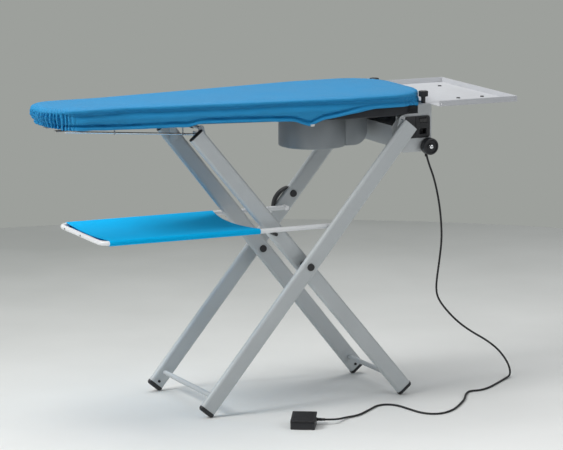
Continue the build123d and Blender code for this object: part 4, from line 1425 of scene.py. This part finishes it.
@dataclass
class Studio:
    """Floor, lights and camera. Each lamp is a name, a place, a power, a size and a colour."""

    target: tuple = (0.063, 0.0, 0.5087)
    eye: tuple = (-3.975, -8.620, 2.194)
    lens: float = 209.8
    sensor: float = 36.0
    far_clip: float = 60.0
    floor_edge: float = 3.0
    floor_front: Colour = (243, 244, 243)
    # The darker back colour is painted shade for the light falling off towards the backdrop.
    floor_back_shaded: Colour = (166, 169, 166)
    front_y: float = -1.2
    back_y: float = 2.6
    mottled: float = 0.04
    wall_colour: Colour = (157, 160, 156)
    sky_tint: tuple = (0.96, 0.98, 1.0, 1.0)
    sky_strength: float = 0.3
    lamps: tuple = (("key", (-3.6, -0.3, 3.3), 128.0, 1.6, (1.0, 0.995, 0.98)),
                    ("top", (0.2, 1.1, 4.4), 104.0, 3.6, (1.0, 1.0, 0.99)),
                    ("front", (2.5, -3.4, 2.7), 32.0, 2.4, (0.97, 0.985, 1.0)))

    def aim(self, place: Sequence[float]) -> object:
        """The turn that makes a lamp or camera at a place look at the object."""
        return (Vector(self.target) - Vector(place)).to_track_quat("-Z", "Y").to_euler()

    def camera(self) -> None:
        """Sets the camera where the photographer's stood."""
        data = bpy.data.cameras.new("eye")
        data.sensor_width = self.sensor
        data.lens = self.lens
        data.clip_end = self.far_clip
        camera = bpy.data.objects.new("eye", data)
        camera.location = self.eye
        camera.rotation_euler = self.aim(self.eye)
        bpy.context.scene.collection.objects.link(camera)
        bpy.context.scene.camera = camera

    def floor(self) -> None:
        """Lays a pale round floor whose colour darkens towards the backdrop: painted shade for the light
        falling off there, with a faint random mottle.
        """
        Bench.rest()
        bpy.ops.mesh.primitive_circle_add(vertices=128, radius=self.floor_edge, fill_type="NGON",
                                          location=(self.target[0], 0, 0))
        floor = Bench.named("studio_floor")
        shader = Shader("studio_floor", 0.65)
        depth = shader.node("SeparateXYZ", {"Vector": shader.place}).outputs["Y"]
        mottle = shader.ramp(shader.cloud(shader.place, 2.2, 4.0), 0.3, 0.7, -self.mottled, self.mottled)
        # Painted shade: the colour goes from the front colour to the darker back one between front_y and
        # back_y.
        shade_and_mottle = shader.math("ADD", shader.ramp(depth, self.front_y, self.back_y, 0.0, 1.0), mottle)
        shader.put("Base Color", shader.mixed(shade_and_mottle, linear(self.floor_front), linear(self.floor_back_shaded)))
        shader.put("Specular IOR Level", 0.2)
        floor.data.materials.append(shader.material)

    def world(self) -> None:
        """Gives the plain backdrop to the camera and an even light to the object."""
        world = bpy.data.worlds.new("studio")
        world.use_nodes = True
        bpy.context.scene.world = world
        tree = world.node_tree
        seen = tree.nodes["Background"]
        seen.inputs["Color"].default_value = linear(self.wall_colour)
        light = tree.nodes.new("ShaderNodeBackground")
        light.inputs["Color"].default_value = self.sky_tint
        light.inputs["Strength"].default_value = self.sky_strength
        path = tree.nodes.new("ShaderNodeLightPath")
        mix = tree.nodes.new("ShaderNodeMixShader")
        tree.links.new(path.outputs["Is Camera Ray"], mix.inputs[0])
        tree.links.new(light.outputs[0], mix.inputs[1])
        tree.links.new(seen.outputs[0], mix.inputs[2])
        tree.links.new(mix.outputs[0], tree.nodes["World Output"].inputs["Surface"])

    def hang_lamps(self) -> None:
        """Hangs the square soft lamps, which look at the object."""
        for name, place, power, size, colour in self.lamps:
            data = bpy.data.lights.new(name, "AREA")
            data.energy, data.size, data.color = power, size, colour
            lamp = bpy.data.objects.new(name, data)
            lamp.location = place
            lamp.rotation_euler = self.aim(place)
            bpy.context.scene.collection.objects.link(lamp)

    def build(self) -> None:
        """Sets up the whole studio."""
        bpy.context.scene.view_settings.view_transform = "Standard"
        self.floor()
        self.world()
        self.hang_lamps()
        self.camera()


class IroningTable:
    """Builds every piece of the table round the frame.

    Each softened node has the body it rides on and the width of its rounding.
    """

    softened: dict[str, tuple[str, float]] = {
        "electrical_box": ("board", 0.0012), "box_lid": ("board", 0.0003),
        "rear_panel": ("board", 0.0007), "control_panel": ("board", 0.0006),
        "side_plate_near": ("board", 0.0006), "side_plate_far": ("board", 0.0006),
        "iron_socket": ("board", 0.0005), "mains_inlet": ("board", 0.0005),
        "iron_tray": ("tray", 0.0005), "air_duct": ("board", 0.0012),
        "power_switch": ("switch", 0.0007), "leg_grip": ("outer_legs", 0.002),
        "rod_guides": ("board", 0.0004), "pedal_base": ("board", 0.001),
        "slide_rails": ("board", 0.0003), "outer_leg_lugs": ("outer_legs", 0.0005),
        "inner_leg_lugs": ("inner_legs", 0.0005)}
    other_finish: dict[str, str] = {"shelf_frame": "frame_white", "rod_guides": "housing_paint",
                                    "release_rod": "chrome"}
    plugs_split: float = 0.4

    def __init__(self, frame: dict) -> None:
        """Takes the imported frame."""
        self.nodes = frame["nodes"]
        self.wardrobe = Wardrobe(frame)

    def cord(self) -> None:
        """Lays the pedal's cord with its sleeves."""
        part = FootCord()
        dress = self.wardrobe.place
        cord = dress(part.build(), "board", "black_rubber", "pedal_cord")
        upper = dress(part.gland_sleeve(), "board", "black_rubber")
        lower = dress(part.pedal_sleeve(), "board", "black_rubber", "pedal_relief")

    def board(self) -> None:
        """Builds the board's soft and pressed parts."""
        dress = self.wardrobe.place
        pad = dress(Pad().build(), "board", "felt", "felt_pad")
        cover = dress(Cover().build(), "board", "cover_cloth", "cover")
        tie = dress(Cover().tie(), "board", "pale_tape")
        dress(BoardPan().build(self.nodes["board_pan"]), "board", "pan_paint", "board_pan")
        plate = BoardPan().plate(self.nodes["work_plate"])
        dress(plate, "board", self.wardrobe.slots["work_plate"], "work_plate")

    def shelf(self) -> None:
        """Builds the shelf's cloth and the rivets in its frame."""
        part = ShelfCloth()
        cloth = self.wardrobe.place(part.build(), "shelf", "shelf_cloth", "shelf_fabric")
        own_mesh(cloth)
        self.wardrobe.place(Housing().rivets(), "shelf", "black_plastic")

    def fittings(self) -> None:
        """Builds the turned parts, the pedal and the small fittings."""
        dress = self.wardrobe.place
        wheels, housing = Wheels(), Housing()
        dress(wheels.wheel(-1), "wheel_near", "black_plastic", "wheel_near")
        dress(wheels.wheel(1), "wheel_far", "black_plastic", "wheel_far")
        dress(wheels.axles(), "board", "chrome", "wheel_axles")
        dress(housing.shell(), "board", "drum_paint", "suction_drum")
        dress(housing.socket_contacts(), "board", "chrome")
        dress(housing.inlet_pins(), "board", "bare_steel")
        dress(Pedal().treadle(self.nodes["pedal_treadle"]), "treadle", "black_rubber", "pedal_treadle")

    def pressed(self) -> None:
        """Softens the edges of sheet and moulded parts that the frame has sharp."""
        for node, (body, width) in self.softened.items():
            piece = Bench.soften(Bench.copy_of(self.nodes[node], node + "_skin"), width)
            finish = self.other_finish.get(node, self.wardrobe.slots[node])
            self.wardrobe.place(piece, body, finish, node)

    def plugs(self) -> None:
        """Splits the outer legs' plugs into black feet and leg-coloured tops."""
        piece = Bench.smooth(Bench.copy_of(self.nodes["end_plugs_outer"], "outer_plugs"), 40.0)
        self.wardrobe.place(piece, "outer_legs", "black_plastic", "end_plugs_outer")
        piece.data.materials.append(self.wardrobe.material("leg_paint"))
        for face in piece.data.polygons:
            face.material_index = int(face.center.z > self.plugs_split)

    def build(self) -> None:
        """Builds the pieces in order."""
        self.wardrobe.dress_nodes()
        for node in ("shelf_frame", "release_rod"):
            self.nodes[node].data.materials[0] = self.wardrobe.material(self.other_finish[node])
        self.pressed()
        self.cord()
        self.board()
        self.shelf()
        self.fittings()
        self.plugs()


def main() -> None:
    """Loads the frame, sets up the studio and dresses the frame."""
    logging.basicConfig(level=logging.INFO, format="%(message)s")
    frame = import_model()
    Bench.rest()
    Studio().build()
    IroningTable(frame).build()
    Bench.rest()


if __name__ == "__main__":
    main()
